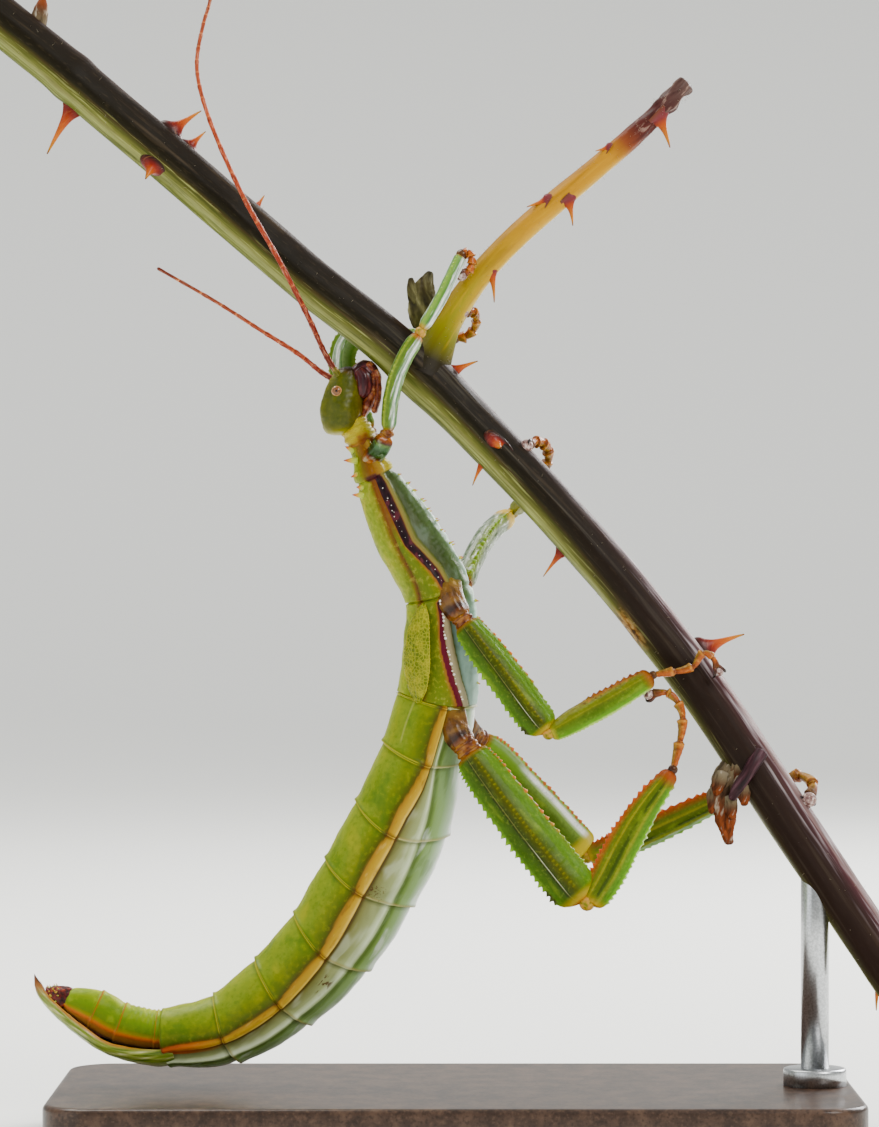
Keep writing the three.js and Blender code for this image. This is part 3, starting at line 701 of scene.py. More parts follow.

# Lime-green plates with a yellow lower edge, a grey-green side and a whitish belly, white along the belly
# line with painted highlight; the blotches and scratches are where it has rubbed.
ABDOMEN_SHELL = Finish("abdomen cuticle, lime green", (
    # The white at the belly line (.96 to 1) is painted highlight.
    coat(FLANK, "0 9A9A20, .04 808E12, .09 6E7E0C, .13 66780A, .16 606A06, .183 4A5406, .195 443C04, "
         ".202 66500C, .212 8A6210, .25 9A760C, .33 AC8A18, .375 CCAC44, .39 3A2606, .41 4A3E10, "
         ".43 6A6A34, .48 7E8450, .54 8A9460, .585 C0CCA4, .605 98A878, .65 52642E, .7 4A6024, .76 66803E, "
         ".84 7E9A60, .91 B0C8A8, .96 F0F8F2, 1 FFFFFF", scale=5),
    coat(Grain(4.5, along=1.6), ".36 3E6000 .55, .47 586E00 0, .56 7E8500 0, .68 959104 .5",
         Window(FLANK, -1, 0.92, 0.04)),
    coat(Grain(0.7), ".36 385800 .3, .5 586E00 0, .64 878C0E .25", Window(FLANK, -1, 0.98, 0.03)),
    coat(Grain(0.9, along=3.0, detail=4), ".33 6E4A04 .5, .43 A77400 0, .58 C29C3E 0, .68 D0B460 .25",
         Window(FLANK, 1.05, 1.95, 0.04)),
    coat(Grain(2.6, along=2.5, detail=2), ".37 4F522A .3, .5 7C7856 0, .62 D0D9BD .25",
         Window(FLANK, 2.08, 3.0, 0.05)),
    coat(Grain(2.2, along=3.0, detail=4), ".37 4E6039 .3, .48 9EB694 0, .58 E7F4E9 0, .68 FFFFFF .3",
         Window(FLANK, 3.2, 5.1, 0.1)),
    # A pale crease runs on behind the wing pad.
    coat(FLANK, ".55 B0B050 0, .575 B0B050 .4, .6 B0B050 0", Window(STATION, 4.9, 5.9, 0.08)),
    # The fold turns orange towards the tail.
    coat(STATION, ".92 B15C00 0, .965 A64200 .7, 1 942E00 .9", Window(FLANK, 1.0, 2.3, 0.06), scale=12),
    # Each ring is a yellow-green line on the back, with painted shade in the dark green either side of it,
    # brown where it meets the fold.
    coat(LENGTH, "0 B8B230 .95, .016 A79B00 .7, .034 4E6300 .45, .07 4E6300 0, .93 3E5600 0, "
         ".965 314B00 .55, .98 9B8F04 .7, 1 B8B230 .95", Window(FLANK, -1, 0.9, 0.04)),
    coat(LENGTH, "0 402101 .9, .02 5C3400 .65, .06 5C3400 0, .94 5C3400 0, .985 4E2A00 .75, 1 402101 .9",
         Window(FLANK, 0.95, 2.1, 0.05)),
    coat(LENGTH, "0 41460F .7, .03 4F5324 .3, .07 4F5324 0, .94 5D5F27 0, .97 918548 .6, 1 DAD69B .8",
         Window(FLANK, 2.1, 5.1, 0.05)),
    # Specks and old scratches by the fold behind the third and fourth rings.
    coat(Grain(0.45, along=0.5, detail=5), "0 270D03 .95, .4 401603 .8, .46 4E2402 0",
         Window(FLANK, 2.0, 2.6, 0.08), Window(STATION, 7.93, 8.12, 0.04)),
    coat(Grain(0.45, along=2.5, detail=5), "0 270D03 .95, .41 401603 .85, .46 4E2402 0",
         Window(FLANK, 2.35, 2.9, 0.08), Window(STATION, 9.35, 9.6, 0.05)),
), reliefs=(PORES, WRINKLES), polish=0.04, clear_coat=0.03, glow=SKIN_GLOW, shine=0.14)

# Green back, a thin orange-brown line, a dark purple band between white granules, a cream ridge and a chalky
# blue-green breast, white along the belly line with painted highlight.
THORAX_SHELL = Finish("thorax cuticle, banded", (
    # The white at the belly line (.98 to 1) is painted highlight.
    coat(FLANK, "0 949C14, .05 8A960E, .12 7A8A0E, .165 7A7C12, .18 6A5208, .194 5E2E08, .203 4A1A06, "
         ".214 5A4208, .235 566008, .3 56660A, .36 62660C, .388 8A5218, .402 2E1010, .45 1A0C12, "
         ".55 200C12, .592 3A1610, .606 6A4218, .64 7E6E30, .72 686428, .79 4A5014, .81 30390B, "
         ".86 2E3E0C, .91 44582C, .95 7E9A82, .98 D8E8E0, 1 FFFFFF", scale=5),
    coat(Grain(3.2, along=2.0), ".36 4F6400 .55, .47 6A7400 0, .56 8E9000 0, .68 AAA01C .5",
         Window(FLANK, -1, 0.9, 0.05)),
    coat(Grain(0.6), ".37 485A00 .35, .5 788300 0, .63 A7A237 .3", Window(FLANK, -1, 1.9, 0.05)),
    # In front the thin line runs into the band.
    coat(STATION, ".2 6A3208 .9, .36 6E3E0A .85, .43 6E4A0A 0", Window(FLANK, 0.97, 2.0, 0.06), scale=5),
    coat(Grain(0.8, along=2.0, detail=4), ".38 0F060B .7, .5 280F1A 0, .62 5E242E .6",
         Window(FLANK, 2.02, 2.98, 0.05)),
    # Behind the middle legs the band is wine red and the ridge pinkish.
    coat(STATION, ".5 45061B 0, .62 45061B 0, .66 54041C .85, .9 5D081F .85",
         Window(FLANK, 2.0, 2.98, 0.04), scale=5),
    coat(STATION, ".6 8A7858 0, .68 948466 .75, 1 9C9478 .7", Window(FLANK, 3.05, 3.9, 0.06), scale=5),
    coat(STATION, ".62 9FC6BA 0, .7 98BEB4 .8, 1 B3D4C6 .7", Window(FLANK, 4.05, 5.1, 0.1), scale=5),
    coat(Grain(2.4, along=1.8), ".37 1E300E .3, .5 4A6448 0, .64 AFC6BA .1", Window(FLANK, 4.0, 5.1, 0.08)),
    # The neck shield is yellow-tan on its sides and yellow below.
    coat(FLANK, "0 6B7A00 0, .1 6A7000 .3, .18 6A5A00 .75, .34 6A4200 .9, .5 7A4E08 .95, .66 8A6A10 .95, "
         ".85 948600 .95, 1 A8A020 .95", Window(STATION, -1, 0.97, 0.03), scale=5),
    coat(STATION, ".9 411319 0, .95 330A12 .85, 1 330A12 .85", Window(STATION, -1, 1.03),
         Window(FLANK, 0.9, 2.6, 0.2)),
), reliefs=(PORES, Relief(Grain(0.6, along=1.4), 0.06)), polish=0.04, clear_coat=0.03, glow=SKIN_GLOW,
    shine=0.14)

# Glossy green with an orange-red lower edge and brown rings, wrinkled where the rings slide; its near-black
# underside in the keel plate's slot is painted shade.
TAIL_SHELL = Finish("tail cuticle, green and wrinkled", (
    coat(EDGE, "0 AAA83A, .1 8D9A00, .24 748800, .42 5C7900, .54 5D7100, .6 867700, .64 B35D00, .7 962F00, "
         ".76 501101, .84 240904, 1 190805"),
    coat(Grain(2.0, detail=4), ".36 3D6400 .4, .48 697E00 0, .56 8D9603 0, .68 9EA81C .3",
         Window(EDGE, -1, 0.55, 0.05)),
    coat(REACH, "0 8A5A20 .9, .3 7A3A10 .8, .5 7A3A10 0", Window(EDGE, 0.68, 1.1, 0.04)),
    coat(LENGTH, "0 7A3D00 .9, .03 7A4C00 .6, .08 5E6600 0, .93 5E6600 0, .97 A05900 .8, 1 7A3D00 .9",
         Window(EDGE, -1, 0.62, 0.04)),
), reliefs=(PORES, WRINKLES), polish=0.02, clear_coat=0.02, glow=SKIN_GLOW, shine=0.12)


# ---------------------------------------- the body

DORSAL = (-1.0, 0.0, 0.12)
TAIL_UP = (0.35, 0.0, 1.0)
UPRIGHT = (0.0, 0.0, 1.0)
UPRIGHT_X = (1.0, 0.0, 0.0)
SIDEWAYS = (0.0, 1.0, 0.0)
ABDOMEN_START = 5.0  # the station where the thorax ends
RING_STEP = 9.0  # millimetres from one ring of the abdomen to the next, near enough


def in_plane(text: str) -> Rows:
    """Stations on the middle plane from rows of x, z, depth and, unless round, width."""
    return tuple((x, 0.0, z, depth, *(width or [depth])) for x, z, depth, *width in numbers(text))


TRUNK = Rail(in_plane(
    "-13.5 100.7 3.8 4.2, -11.3 94.8 6.2 5.4, -7.3 87.3 9.4 7.2, -2.3 77.9 9.9 8.6, -2 70.1 11 9.2, "
    "-2.6 63 11.6 9.6, -4.6 55.5 11.8 10.4, -7.6 46 14 11.8, -12.3 36.9 14.2 12.2, -17.7 28.4 13.5 11.8, "
    "-24.7 21.3 12.2 10.8, -32.7 16.1 10.3 9.2, -41.6 14.7 8.1 7.2"), DORSAL)
TAIL = Rail(in_plane(
    "-40.5 15.9 5.6 6.4, -42.7 15.9 5.7 6.4, -47.9 17 5.8 5.6, -51.4 18.8 5.8 5, -56 20.5 3.2"), TAIL_UP)

# How the rings bow towards the tail down the flank: station, millimetres.
RING_BOW = numbers("0 .2, 1 .4, 3 .5, 5 1, 6 1.5, 7 2.3, 8 1.5, 9 1.7, 10 1.1, 11 .7, 12 .6")
# Lines along the flank, in degrees from the back: station, orange line, band, band's lower edge,
# foot of the pale ridge.
THORAX_LINES = numbers(
    "0 60 80 100 125, .97 66 84 104 124, 1 78 86 108 120, 1.45 74 82 102 113, 2.15 66 78.5 92.5 103, "
    "2.6 60 94 105 114, 2.95 54 102 109 118, 3.05 54 86 90 97, 3.6 58 88 93 106, 4 63 93 99.5 113, "
    "4.5 66 105 112 125, 5 68 127 134 146")
# The abdomen's fold of skin: station, its turn in degrees, half its width in millimetres.
FOLD = numbers(
    "5 104 .6, 5.9 103 .65, 6.3 98 .75, 6.7 89 .8, 7 87 .85, 8 86 .88, 9 92 .8, 10 101 .7, 11 103.5 .6, "
    "12 113 .45")
BELLY_RIDGE = numbers("5 112, 6 112, 6.7 118, 7 120, 8 127, 9 130, 10 132, 11 136, 12 145")
BELLY_RIDGE_WIDTH = 12.0  # degrees

ABDOMEN_OUTLINE = numbers("0 1, 45 1.03, 90 1, 105 .98, 126 .93, 144 .98, 180 1")
THORAX_OUTLINE = numbers("0 1, 36 .95, 72 .97, 90 1.02, 126 .97, 180 1")
LIMB_OUTLINE = numbers("0 1.06, 30 .94, 90 1, 150 .94, 180 1.06")


def outline(pairs: Rows, turn: Array, soften: float = 7.0) -> Array:
    """A section's share of its ellipse at each turn, with the corners rounded over some degrees."""
    shares = [table(pairs, np.abs(turn + step * soften)) for step in (-1, -0.5, 0, 0.5, 1)]
    return sum(shares) / len(shares)


@dataclass(frozen=True)
class TrunkLength:
    """A closed length of the trunk between two stations."""

    first: float
    last: float
    rows: int
    columns: int = 112
    seed: int = 1

    @property
    def is_thorax(self) -> bool:
        """Whether it lies before the abdomen."""
        return self.last <= ABDOMEN_START

    def lines(self, base: Array) -> Array:
        """The turns of the four flank lines at each station, on a last axis."""
        if self.is_thorax:
            return table(THORAX_LINES, base)
        turn, half_width = np.moveaxis(table(FOLD, base), -1, 0)
        ring = base - np.floor(base)
        swell = 0.55 + 0.45 * np.sin(np.pi * ring) ** 0.5
        half = half_width * swell / TRUNK.arc(base)
        ridge = table(BELLY_RIDGE, base)
        turn = turn - 2.0 * np.sin(np.pi * ring)
        return np.stack([turn - half, turn + half, ridge, ridge + BELLY_RIDGE_WIDTH], axis=-1)

    def relief(self, base: Array, side: Array, lines: Array, arc: Array, along: Array) -> Array:
        """Millimetres that the skin stands out at each point.

        Args:
            base: Stations, one a row.
            side: Turns from the back without sign, one a column.
            lines: The flank lines' turns.
            arc: Millimetres for each degree round the section.
            along: Millimetres along the trunk, one a row.

        Returns:
            The push out.
        """
        line, band, band_foot, ridge_foot = (lines[..., number] for number in range(4))
        millimetres = side * arc
        uneven = 0.05 * ripple(along, millimetres, 2.2, self.seed) + 0.02 * ripple(along, millimetres, 0.8, 5)
        if self.is_thorax:
            middle = (band_foot + ridge_foot) / 2
            width = np.maximum((ridge_foot - band_foot) * arc * 0.42, 0.3)
            push = 0.34 * bell((side - middle) * arc, width)
            push -= 0.16 * bell((side - (band + band_foot) / 2) * arc, (band_foot - band) * arc * 0.4)
            push -= 0.09 * bell((side - line) * arc, 0.22)
            push += 0.05 * bell((side - band) * arc, 0.16)
            belly = ease((side - ridge_foot - 8) / 12)
            push += belly * 0.10 * ripple(along * 1.6, millimetres, 1.0, 9)
            push -= 0.16 * bell((side - 180) * arc, 0.45)
            return push + uneven
        ring = base - np.floor(base)
        before, after = (1 - ring) * RING_STEP, ring * RING_STEP
        fold_middle, fold_half = (line + band) / 2, (band - line) / 2
        push = 0.30 * bell((side - fold_middle) * arc, fold_half * arc * 0.8)
        push -= 0.13 * bell((side - line) * arc, 0.2)
        groove = (band + band_foot) / 2
        push -= 0.26 * bell((side - groove) * arc, np.maximum((band_foot - band) * arc * 0.36, 0.25))
        in_groove = ease((side - band) / 2) * ease((band_foot - side) / 2)
        push += in_groove * 0.03 * ripple(along * 0.6, millimetres, 1.2, 8)
        push += 0.22 * bell((side - band_foot) * arc, 0.28) + 0.12 * bell((side - band_foot - 9) * arc, 0.25)
        belly = ease((side - ridge_foot + 5) / 4)
        back_lip = 0.30 * np.exp(-((before / 0.55) ** 2)) - 0.16 * np.exp(-after / 1.2)
        belly_lip = 0.34 * np.exp(-((before / 0.8) ** 2)) - 0.30 * np.exp(-after / 1.3)
        push += back_lip * (1 - belly) + belly_lip * belly
        creases = ease((0.16 - ring) / 0.1) * ease((side - line + 30) / 20) * ease((ridge_foot - side) / 10)
        push += creases * 0.045 * np.sin(2 * math.pi * along / 0.5 + millimetres * 0.8)
        push += 0.04 * bell(side - 8, 2.5) * (1 - 0.6 * np.exp(-after))
        return push + uneven

    def patch(self) -> Patch:
        """Makes the closed length, its front end drawn in under the one before."""
        turn = full_turn(self.columns)[None, :]
        side = np.abs(turn)
        base = np.linspace(self.first, self.last, self.rows)[:, None]
        lines = self.lines(base)
        knots = np.concatenate([0 * lines[..., :1], lines, 0 * lines[..., :1] + 180], axis=-1)
        gaps = np.diff(knots)
        flank = sum(np.clip((side - knots[..., k]) / gaps[..., k], 0, 1) for k in range(5))
        fold = (lines[..., 0] + lines[..., 1]) / 2
        shape = np.where(side < fold, ease(side / fold), 1 - 1.1 * ease((side - fold) / (180 - fold)))
        at = base + table(RING_BOW, base) / RING_STEP * shape
        arc = TRUNK.arc(base)
        along = TRUNK.along(base)
        tuck = 1 - 0.10 * (1 - ease((base - self.first) / 0.07))
        if self.first == 0:
            tuck = np.sqrt(np.clip(0.3 + 0.7 * ease(base / 0.18), 0, 1))
        roll = 1 - 0.5 * (1 - np.sqrt(1 - np.clip((base - self.last + 0.06) / 0.0605, 0, 1) ** 2))
        narrow, wide = (outline(pairs, turn) for pairs in (THORAX_OUTLINE, ABDOMEN_OUTLINE))
        blend = ease((base - 4.4) / 1.2)
        ring = base - np.floor(base)
        swell = 1 + 0.022 * np.sin(np.pi * ring) * blend
        swell = swell - 0.14 * bell(base - 0.5, 0.22) + 0.05 * bell(base - 0.82, 0.1)
        swell = swell - 0.10 * bell(base - 1.03, 0.08)
        share = (narrow * (1 - blend) + wide * blend) * tuck * roll * swell
        push = self.relief(base, side, lines, arc, along)
        points = TRUNK.surface(at, turn, share, push)
        return tube(points, {FLANK: flank, LENGTH: ring, STATION: at, ALONG: along, ACROSS: turn * arc})

    def point(self, station: float, turn: float, push: float = 0.0) -> Array:
        """A place on the skin."""
        pairs = THORAX_OUTLINE if self.is_thorax else ABDOMEN_OUTLINE
        share = outline(pairs, np.array([turn]))
        return TRUNK.surface(np.array([station]), np.array([turn]), share, push)[0]


PROTHORAX = TrunkLength(0.0, 1.0, 50, seed=2)
MESOTHORAX = TrunkLength(0.96, 3.0, 110, seed=3)
METATHORAX = TrunkLength(2.96, 5.0, 100, seed=4)
ABDOMEN = TrunkLength(4.95, 12.0, 340, seed=6)


def tail_rings(rows: int = 90, columns: int = 60) -> Patch:
    """The last three short rings, above the keel plate, with their sliding wrinkles."""
    turn = full_turn(columns)[None, :]
    places, shares = domed(rows, TAIL.length, 0.0, 1.2)
    base = (places * TAIL.last)[:, None]
    side = np.abs(turn)
    along, arc = TAIL.along(base), TAIL.arc(base)
    ring = base - np.floor(base)
    creases = np.sin(2 * math.pi * along / 0.85 + 0.5 * np.sin(side / 23))
    push = 0.09 * bell(base - 1.35, 0.6) * creases * bell(side, 95)
    lip = 0.16 * np.exp(-(((1 - ring) * 5 / 0.5) ** 2)) - 0.12 * np.exp(-ring * 5 / 0.6)
    push += lip * (base > 0.8)
    push += 0.04 * ripple(along, side * arc, 1.6, 11)
    push += 0.16 * bell((side - 122) * arc, 0.5)
    share = outline(ABDOMEN_OUTLINE, turn) * shares[:, None]
    points = TAIL.surface(base, turn, share, push)
    return tube(points, {EDGE: side / 180, LENGTH: ring, ALONG: along, ACROSS: turn * arc})


# ---------------------------------------- keel plate and tail tip

# Green-yellow boat with lengthwise streaks, a cream rim and a near-black inside that is painted shade.
KEEL_SHELL = Finish("keel plate, streaked green", (
    coat(Grain(0.8, along=7.0, detail=4), ".34 445B09, .46 718221, .56 909846, .68 D6D59A"),
    coat(EDGE, ".3 C7902F .95, .36 AA6309 .85, .41 927C23 .6, .46 718221 0, .68 7D9148 0, .82 B5C48F .6, "
         "1 D3E3B9 .8"),
    coat(REACH, ".8 945E12 0, .9 8F3600 .75, .96 631402 .9, 1 360904 1"),
    # The near-black inside of the trough is painted shade.
    coat(INSIDE, ".35 A43800 0, .5 9D3300 .9, .62 2A0A06 1, 1 120604 1"),
), reliefs=(PORES, Relief(Grain(0.35, along=8.0, detail=2), 0.05)), roughness=0.34, clear_coat=0.3,
    glow=0.08)
# Pink-red to purple blades that lay the eggs.
BLADE_SHELL = Finish("egg-laying blades, wine pink", (
    coat(REACH, "0 550511, .3 A62845, .55 B94D57, .75 830E3B, 1 360520"),
    coat(Grain(0.5, along=5.0), ".38 370210 .6, .5 A62845 0, .64 E0948A .5"),
), roughness=0.3, clear_coat=0.4, glow=0.1)
# Dark red-brown last segment under short stiff points.
TIP_SHELL = Finish("tail tip, red brown", (
    coat(Grain(0.6, detail=4), ".36 240401, .5 4E0C02, .62 7A2404, .7 96481A"),
), reliefs=(Relief(Grain(0.3, detail=2), 0.12),), roughness=0.4, clear_coat=0.2)

KEEL_PLATE = Rail(in_plane(
    "-40.2 13.3 4.4 6.2, -42.4 12.8 4.2 6.3, -49.2 13.6 2.4 5.4, -53.4 16.2 2.3 4.4, -56.8 19 2 3.2, "
    "-58.8 21.2 1.6 2, -60 23.9 .8 .9"), UPRIGHT)
KEEL_LIP = numbers("0 78, 1 74, 1.5 66, 2 58, 4 55, 5.4 62, 6 100")  # station, rim's turn
KEEL_WALL = 0.42
TIP_POINTS = 46
TAIL_TIP = Rail(in_plane("-54.9 20.2 3.2 3, -56.2 20.6 3.2 3, -57.6 20.8 2.6 2.2, -58.6 20.9 1.2"), TAIL_UP)
BLADE = numbers("-44 .5 15 1.6 .7, -50 .5 15.6 1.5 .7, -54.6 .4 18.2 1.3 .6, -58.4 .2 22 .6 .3")


def mirrored(stations: Rows, sign: int, up: Point) -> Rail:
    """A rail on one side of the middle plane, or its mirror image."""
    return Rail(tuple((x, sign * y, *rest) for x, y, *rest in stations), up)


Bumps = Callable[[Array, Array, Array], Array]


def plain_tube(rail: Rail, rows: int, columns: int, start: float, end: float,
               pairs: Rows | None = None,
               relief: Bumps | None = None) -> Patch:
    """A closed tube along a rail with rounded ends.

    Args:
        rail: The middle line and its sections.
        rows: Rows between the end domes.
        columns: Points round each row.
        start: How long the first dome is in millimetres.
        end: The same for the last one.
        pairs: The section's outline, an ellipse if left out.
        relief: Gives the push out from stations, turns and millimetres along.

    Returns:
        The tube with ALONG, ACROSS, EDGE, REACH and LENGTH.
    """
    places, shares = domed(rows, rail.length, start, end)
    turn = full_turn(columns)[None, :]
    base = (places * rail.last)[:, None]
    along = rail.along(base)
    share = shares[:, None] * (outline(pairs, turn) if pairs else 1.0)
    push = relief(base, turn, along) if relief else 0.0
    points = rail.surface(base, turn, share, push)
    arc = rail.arc(base)
    return tube(points, {ALONG: along, ACROSS: turn * arc, EDGE: np.abs(turn) / 180,
                         REACH: places[:, None], LENGTH: base - np.floor(base)})


def keel_plate_patch(rows: int = 130, half: int = 40) -> Patch:
    """The boat-shaped plate: a thin trough with a rounded rim, open above."""
    last = KEEL_PLATE.last
    base = np.linspace(0, last, rows)[:, None]
    lip = table(KEEL_LIP, base)
    sweep = np.linspace(0, 1, half)[None, :]
    outer = lip + (360 - 2 * lip) * sweep
    inner = outer[:, ::-1]
    turn = np.concatenate([outer, inner], axis=1)
    is_inner = np.concatenate([np.zeros(half), np.ones(half)])[None, :]
    along = KEEL_PLATE.along(base)
    size = KEEL_PLATE.sizes(base).min(axis=-1)
    wall = np.minimum(KEEL_WALL, size * 0.3)
    fade = np.sin(np.pi * np.concatenate([sweep, sweep[:, ::-1]], axis=1)) ** 0.35
    turned = np.where(turn > 180, turn - 360, turn)
    lines = 0.05 * np.sin(np.radians(turn) * 22) * (1 - is_inner) * ease(base / 0.4)
    push = np.where(is_inner > 0, -wall * (0.35 + 0.65 * fade), lines)
    push = push + 0.04 * ripple(along, turn / 20, 1.4, 21)
    push = push + 0.12 * bell(np.abs(turned) - lip, 5) * (1 - is_inner)
    end = np.sqrt(np.clip((last - base) / 0.5, 0.02, 1))
    points = KEEL_PLATE.surface(base, turn, end, push * end)
    arc = KEEL_PLATE.arc(base)
    return tube(points, {ALONG: along, ACROSS: turned * arc, EDGE: np.abs(turned) / 180,
                         REACH: base / last, INSIDE: is_inner})


# ---------------------------------------- head

# Olive-green capsule, paler behind, brown where the mouth begins.
HEAD_SHELL = Finish("head cuticle, olive", (
    coat(EDGE, "0 A89E1C, .06 7E7A08, .13 5E6000, .25 4B4F00, .45 3F4600, .6 424500, .74 504900, "
         ".86 674B00, 1 654100"),
    coat(Grain(2.4, detail=4), ".36 293400 .4, .48 3F4600 0, .56 646300 0, .68 7E7A00 .3"),
    coat(Grain(0.5), ".37 242D00 .2, .5 3F4600 0, .63 716900 .15"),
    coat(REACH, "0 8F8300 .95, .1 847F00 .7, .22 655C00 0, .78 362800 0, .86 432700 .7, .93 210707 .9, "
         "1 1A0505 1"),
), reliefs=(PORES, Relief(Grain(0.9), 0.06)), polish=0.04, clear_coat=0.05, glow=SKIN_GLOW)
# Bright yellow folded skin with an orange-brown blotch.
JOINT_SKIN = Finish("joint skin, yellow", (
    coat(Grain(2.6, detail=2), ".38 6A3200, .46 8A5E02, .54 A08A04, .68 B4A814"),
    coat(Grain(0.4, along=0.3, detail=2), ".38 4A2400 .3, .5 907600 0"),
), reliefs=(Relief(Grain(0.4, along=0.3, detail=2), 0.04),), roughness=0.4, clear_coat=0.05, glow=0.1)
# Wine-dark mouthparts, wet-looking, amber at the front edge.
MOUTH_SHELL = Finish("mouthparts, wine dark", (
    coat(REACH, "0 3E1410, .25 3A0E14, .6 2E0A12, .85 3E1016, 1 5A2416"),
    coat(Grain(0.8, along=3.0, detail=4), ".37 12040A .7, .5 3A0E14 0, .64 7E3430 .55"),
    coat(EDGE, "0 C98A1E .9, .07 B46A1A .6, .14 6A2A10 0", Window(REACH, 0.3, 1.1, 0.1)),
), reliefs=(Relief(Grain(0.5, along=3.0, detail=2), 0.08),), roughness=0.34, clear_coat=0.25)
# Glossy orange-brown lip and palps.
PALP_SHELL = Finish("palps, orange brown", (
    coat(Grain(0.7, detail=4), ".36 3E1206, .48 6A2810, .58 854420, .7 A87040"),
    coat(LENGTH, "0 A07020 .5, .12 854420 0, .9 590F00 0, 1 3E0700 .6"),
), roughness=0.34, clear_coat=0.15, glow=0.1)
# Glassy eye: a peach rim, a brown ring, amber within and a small false pupil.
EYE_SHELL = Finish("eye, peach and amber", (
    coat(REACH, "0 0E0604, .1 140804, .16 6A3A14, .3 7A4A1C, .42 6A3E16, .52 8A5A2A, .62 B88450, "
         ".74 B07A46, .84 8A6222, 1 4A4A08"),
), reliefs=(Relief(Grain(0.05, pattern=Pattern.CELLS), 0.004),), roughness=0.14, clear_coat=0.7)
# Coral feelers with a dark red base, pale at each joint.
FEELER_SHELL = Finish("feelers, coral", (
    coat(REACH, "0 3A5E00, .045 4A5D00, .055 480A00, .2 670F00, .34 8E2606, .55 A23C14, .85 8E4226, "
         "1 561D12"),
    coat(LENGTH, "0 DDAB76 .9, .1 D47537 .6, .22 A2482A 0, .86 5E1C0C 0, 1 4E1408 .8",
         Window(REACH, 0.16, 2.0, 0.04)),
    coat(Grain(0.4, along=3.0), ".38 4E1408 .6, .5 A2482A 0, .64 C88A6A .6"),
), glow=0.12)
# Thin leathery pad, yellow-green between a net of raised veins.
WING_LEATHER = Finish("wing pads, netted leather", (
    coat(Grain(1.6, detail=4), ".36 536200, .48 707700, .58 8A8700, .7 A8A000"),
    coat(Grain(0.5, pattern=Pattern.CELLS), "0 A8A41C .7, .1 8A8C06 .4, .2 5A6600 .2, .45 4A5800 .4"),
    coat(EDGE, "0 AA8B00 .8, .06 8B8200 .5, .12 707700 0, .9 707700 0, .96 999113 .6, 1 B4A338 .8"),
), reliefs=(Relief(Grain(0.5, pattern=Pattern.CELLS), -0.12), PORES), glow=0.1)

HEAD = Rail(in_plane(
    "-16.2 100.8 2.8 3.2, -16.3 101.8 5 5.4, -16.2 103.9 6.2 6.4, -15.95 105.9 6 6.2, -15.6 107.9 5 5.2, "
    "-15.2 109.5 3.5 3.8, -14.9 110.6 1.6 2.4"), DORSAL)
NECK = Rail(in_plane(
    "-15.6 104 3.2 3.6, -14.9 103 3.8 4.2, -14 101.4 4.4, -12.9 99.4 4.2, -12.5 98.2 3.6"), DORSAL)
MOUTH = Rail(in_plane("-14.9 107.9 3, -13.3 109.3 3.8 3.4, -12 110.4 3.2 2.8, -11.4 111 1.2 1.4"), DORSAL)
LIP = Rail(in_plane(
    "-12.7 111.2 1.4 2.6, -11.6 109.4 1.9 3.2, -11.8 107 2.1 3.4, -12.6 104.9 1.7 3, -13.3 103.3 .9 2"),
    DORSAL)
JAW = numbers(
    "-13.9 -1.3 110.2 1.4 1.3, -13 -1.6 109 2.2 1.5, -12.9 -1.6 107.4 2.1 1.4, -13.4 -1.3 106.2 1 .9")
EYE = (-16.8, 2.45, 107.0)
EYE_RADIUS = 0.8
FEELER_WIDTHS = (0.82, 0.42)
FEELERS = {
    "right": numbers(
        "-16.4 -1.2 109, -18.4 -2.4 112.2, -20.6 -4.2 117, -24.8 -5.6 125.2, -30.4 -6 135.3, "
        "-35.4 -6.2 147.3, -36.5 -6.2 153, -35.6 -6.4 158.6, -34.6 -6.6 162.1, -34.1 -6.8 167.7"),
    "left": numbers(
        "-16.9 1.2 108.6, -19.1 1.9 109.9, -22.2 2.8 112.4, -28 4.2 116.1, -33.9 5.4 119.9, "
        "-43 6.8 125.2"),
}
FEELER_JOINT = 2.3  # millimetres from one joint to the next
PALP = numbers("-11.3 1.3 110, -10.9 1.7 108.4, -10.9 1.8 106.3, -11.6 1.5 104")
PALP_WIDTH, PALP_JOINT = 0.8, 1.6
WING_PAD = numbers("-4.5 3.5 76.8 1.8, -5.2 4.4 72.6 4.2, -5.4 4.5 67.4 4.8, -5.2 4.2 62.6 2")
WING_THICKNESS = 1.0
WING_LEAN = (-0.75, 0.66)
SIDES = {"right": -1, "left": 1}


def head_relief(base: Array, turn: Array, along: Array) -> Array:
    """Brow over the eye, a furrow behind it, a groove down the crown and fine unevenness."""
    side = np.abs(turn)
    push = 0.16 * bell(side - 62, 12) * bell(base - 3.6, 0.7)
    push -= 0.14 * bell(side - 74, 10) * bell(base - 2.9, 0.4)
    push += 0.20 * bell(side - 100, 16) * bell(base - 2.3, 0.7)
    push -= 0.10 * bell(side, 4) * ease(base - 0.6)
    push += 0.10 * bell(side - 22, 8) * bell(base - 2.2, 0.9)
    push -= 0.12 * bell(side - 128, 8) * bell(base - 2.6, 1.2)
    return push + 0.06 * ripple(along, turn / 18, 1.3, 31) + 0.03 * ripple(along, turn / 18, 0.5, 32)


def uneven(height: float, size: float, degrees: float, seed: int) -> Bumps:
    """Relief of plain unevenness, some degrees of turn counting as a millimetre."""
    return lambda base, turn, along: height * ripple(along, turn / degrees, size, seed)


def lip_relief(base: Array, turn: Array, along: Array) -> Array:
    """Soft cross folds."""
    return 0.08 * np.sin(along * 3.1) + 0.05 * ripple(along, turn / 14, 0.8, 36)


def jaw_relief(base: Array, turn: Array, along: Array) -> Array:
    """Blunt lengthwise ribs."""
    return 0.06 * np.sin(turn / 9)


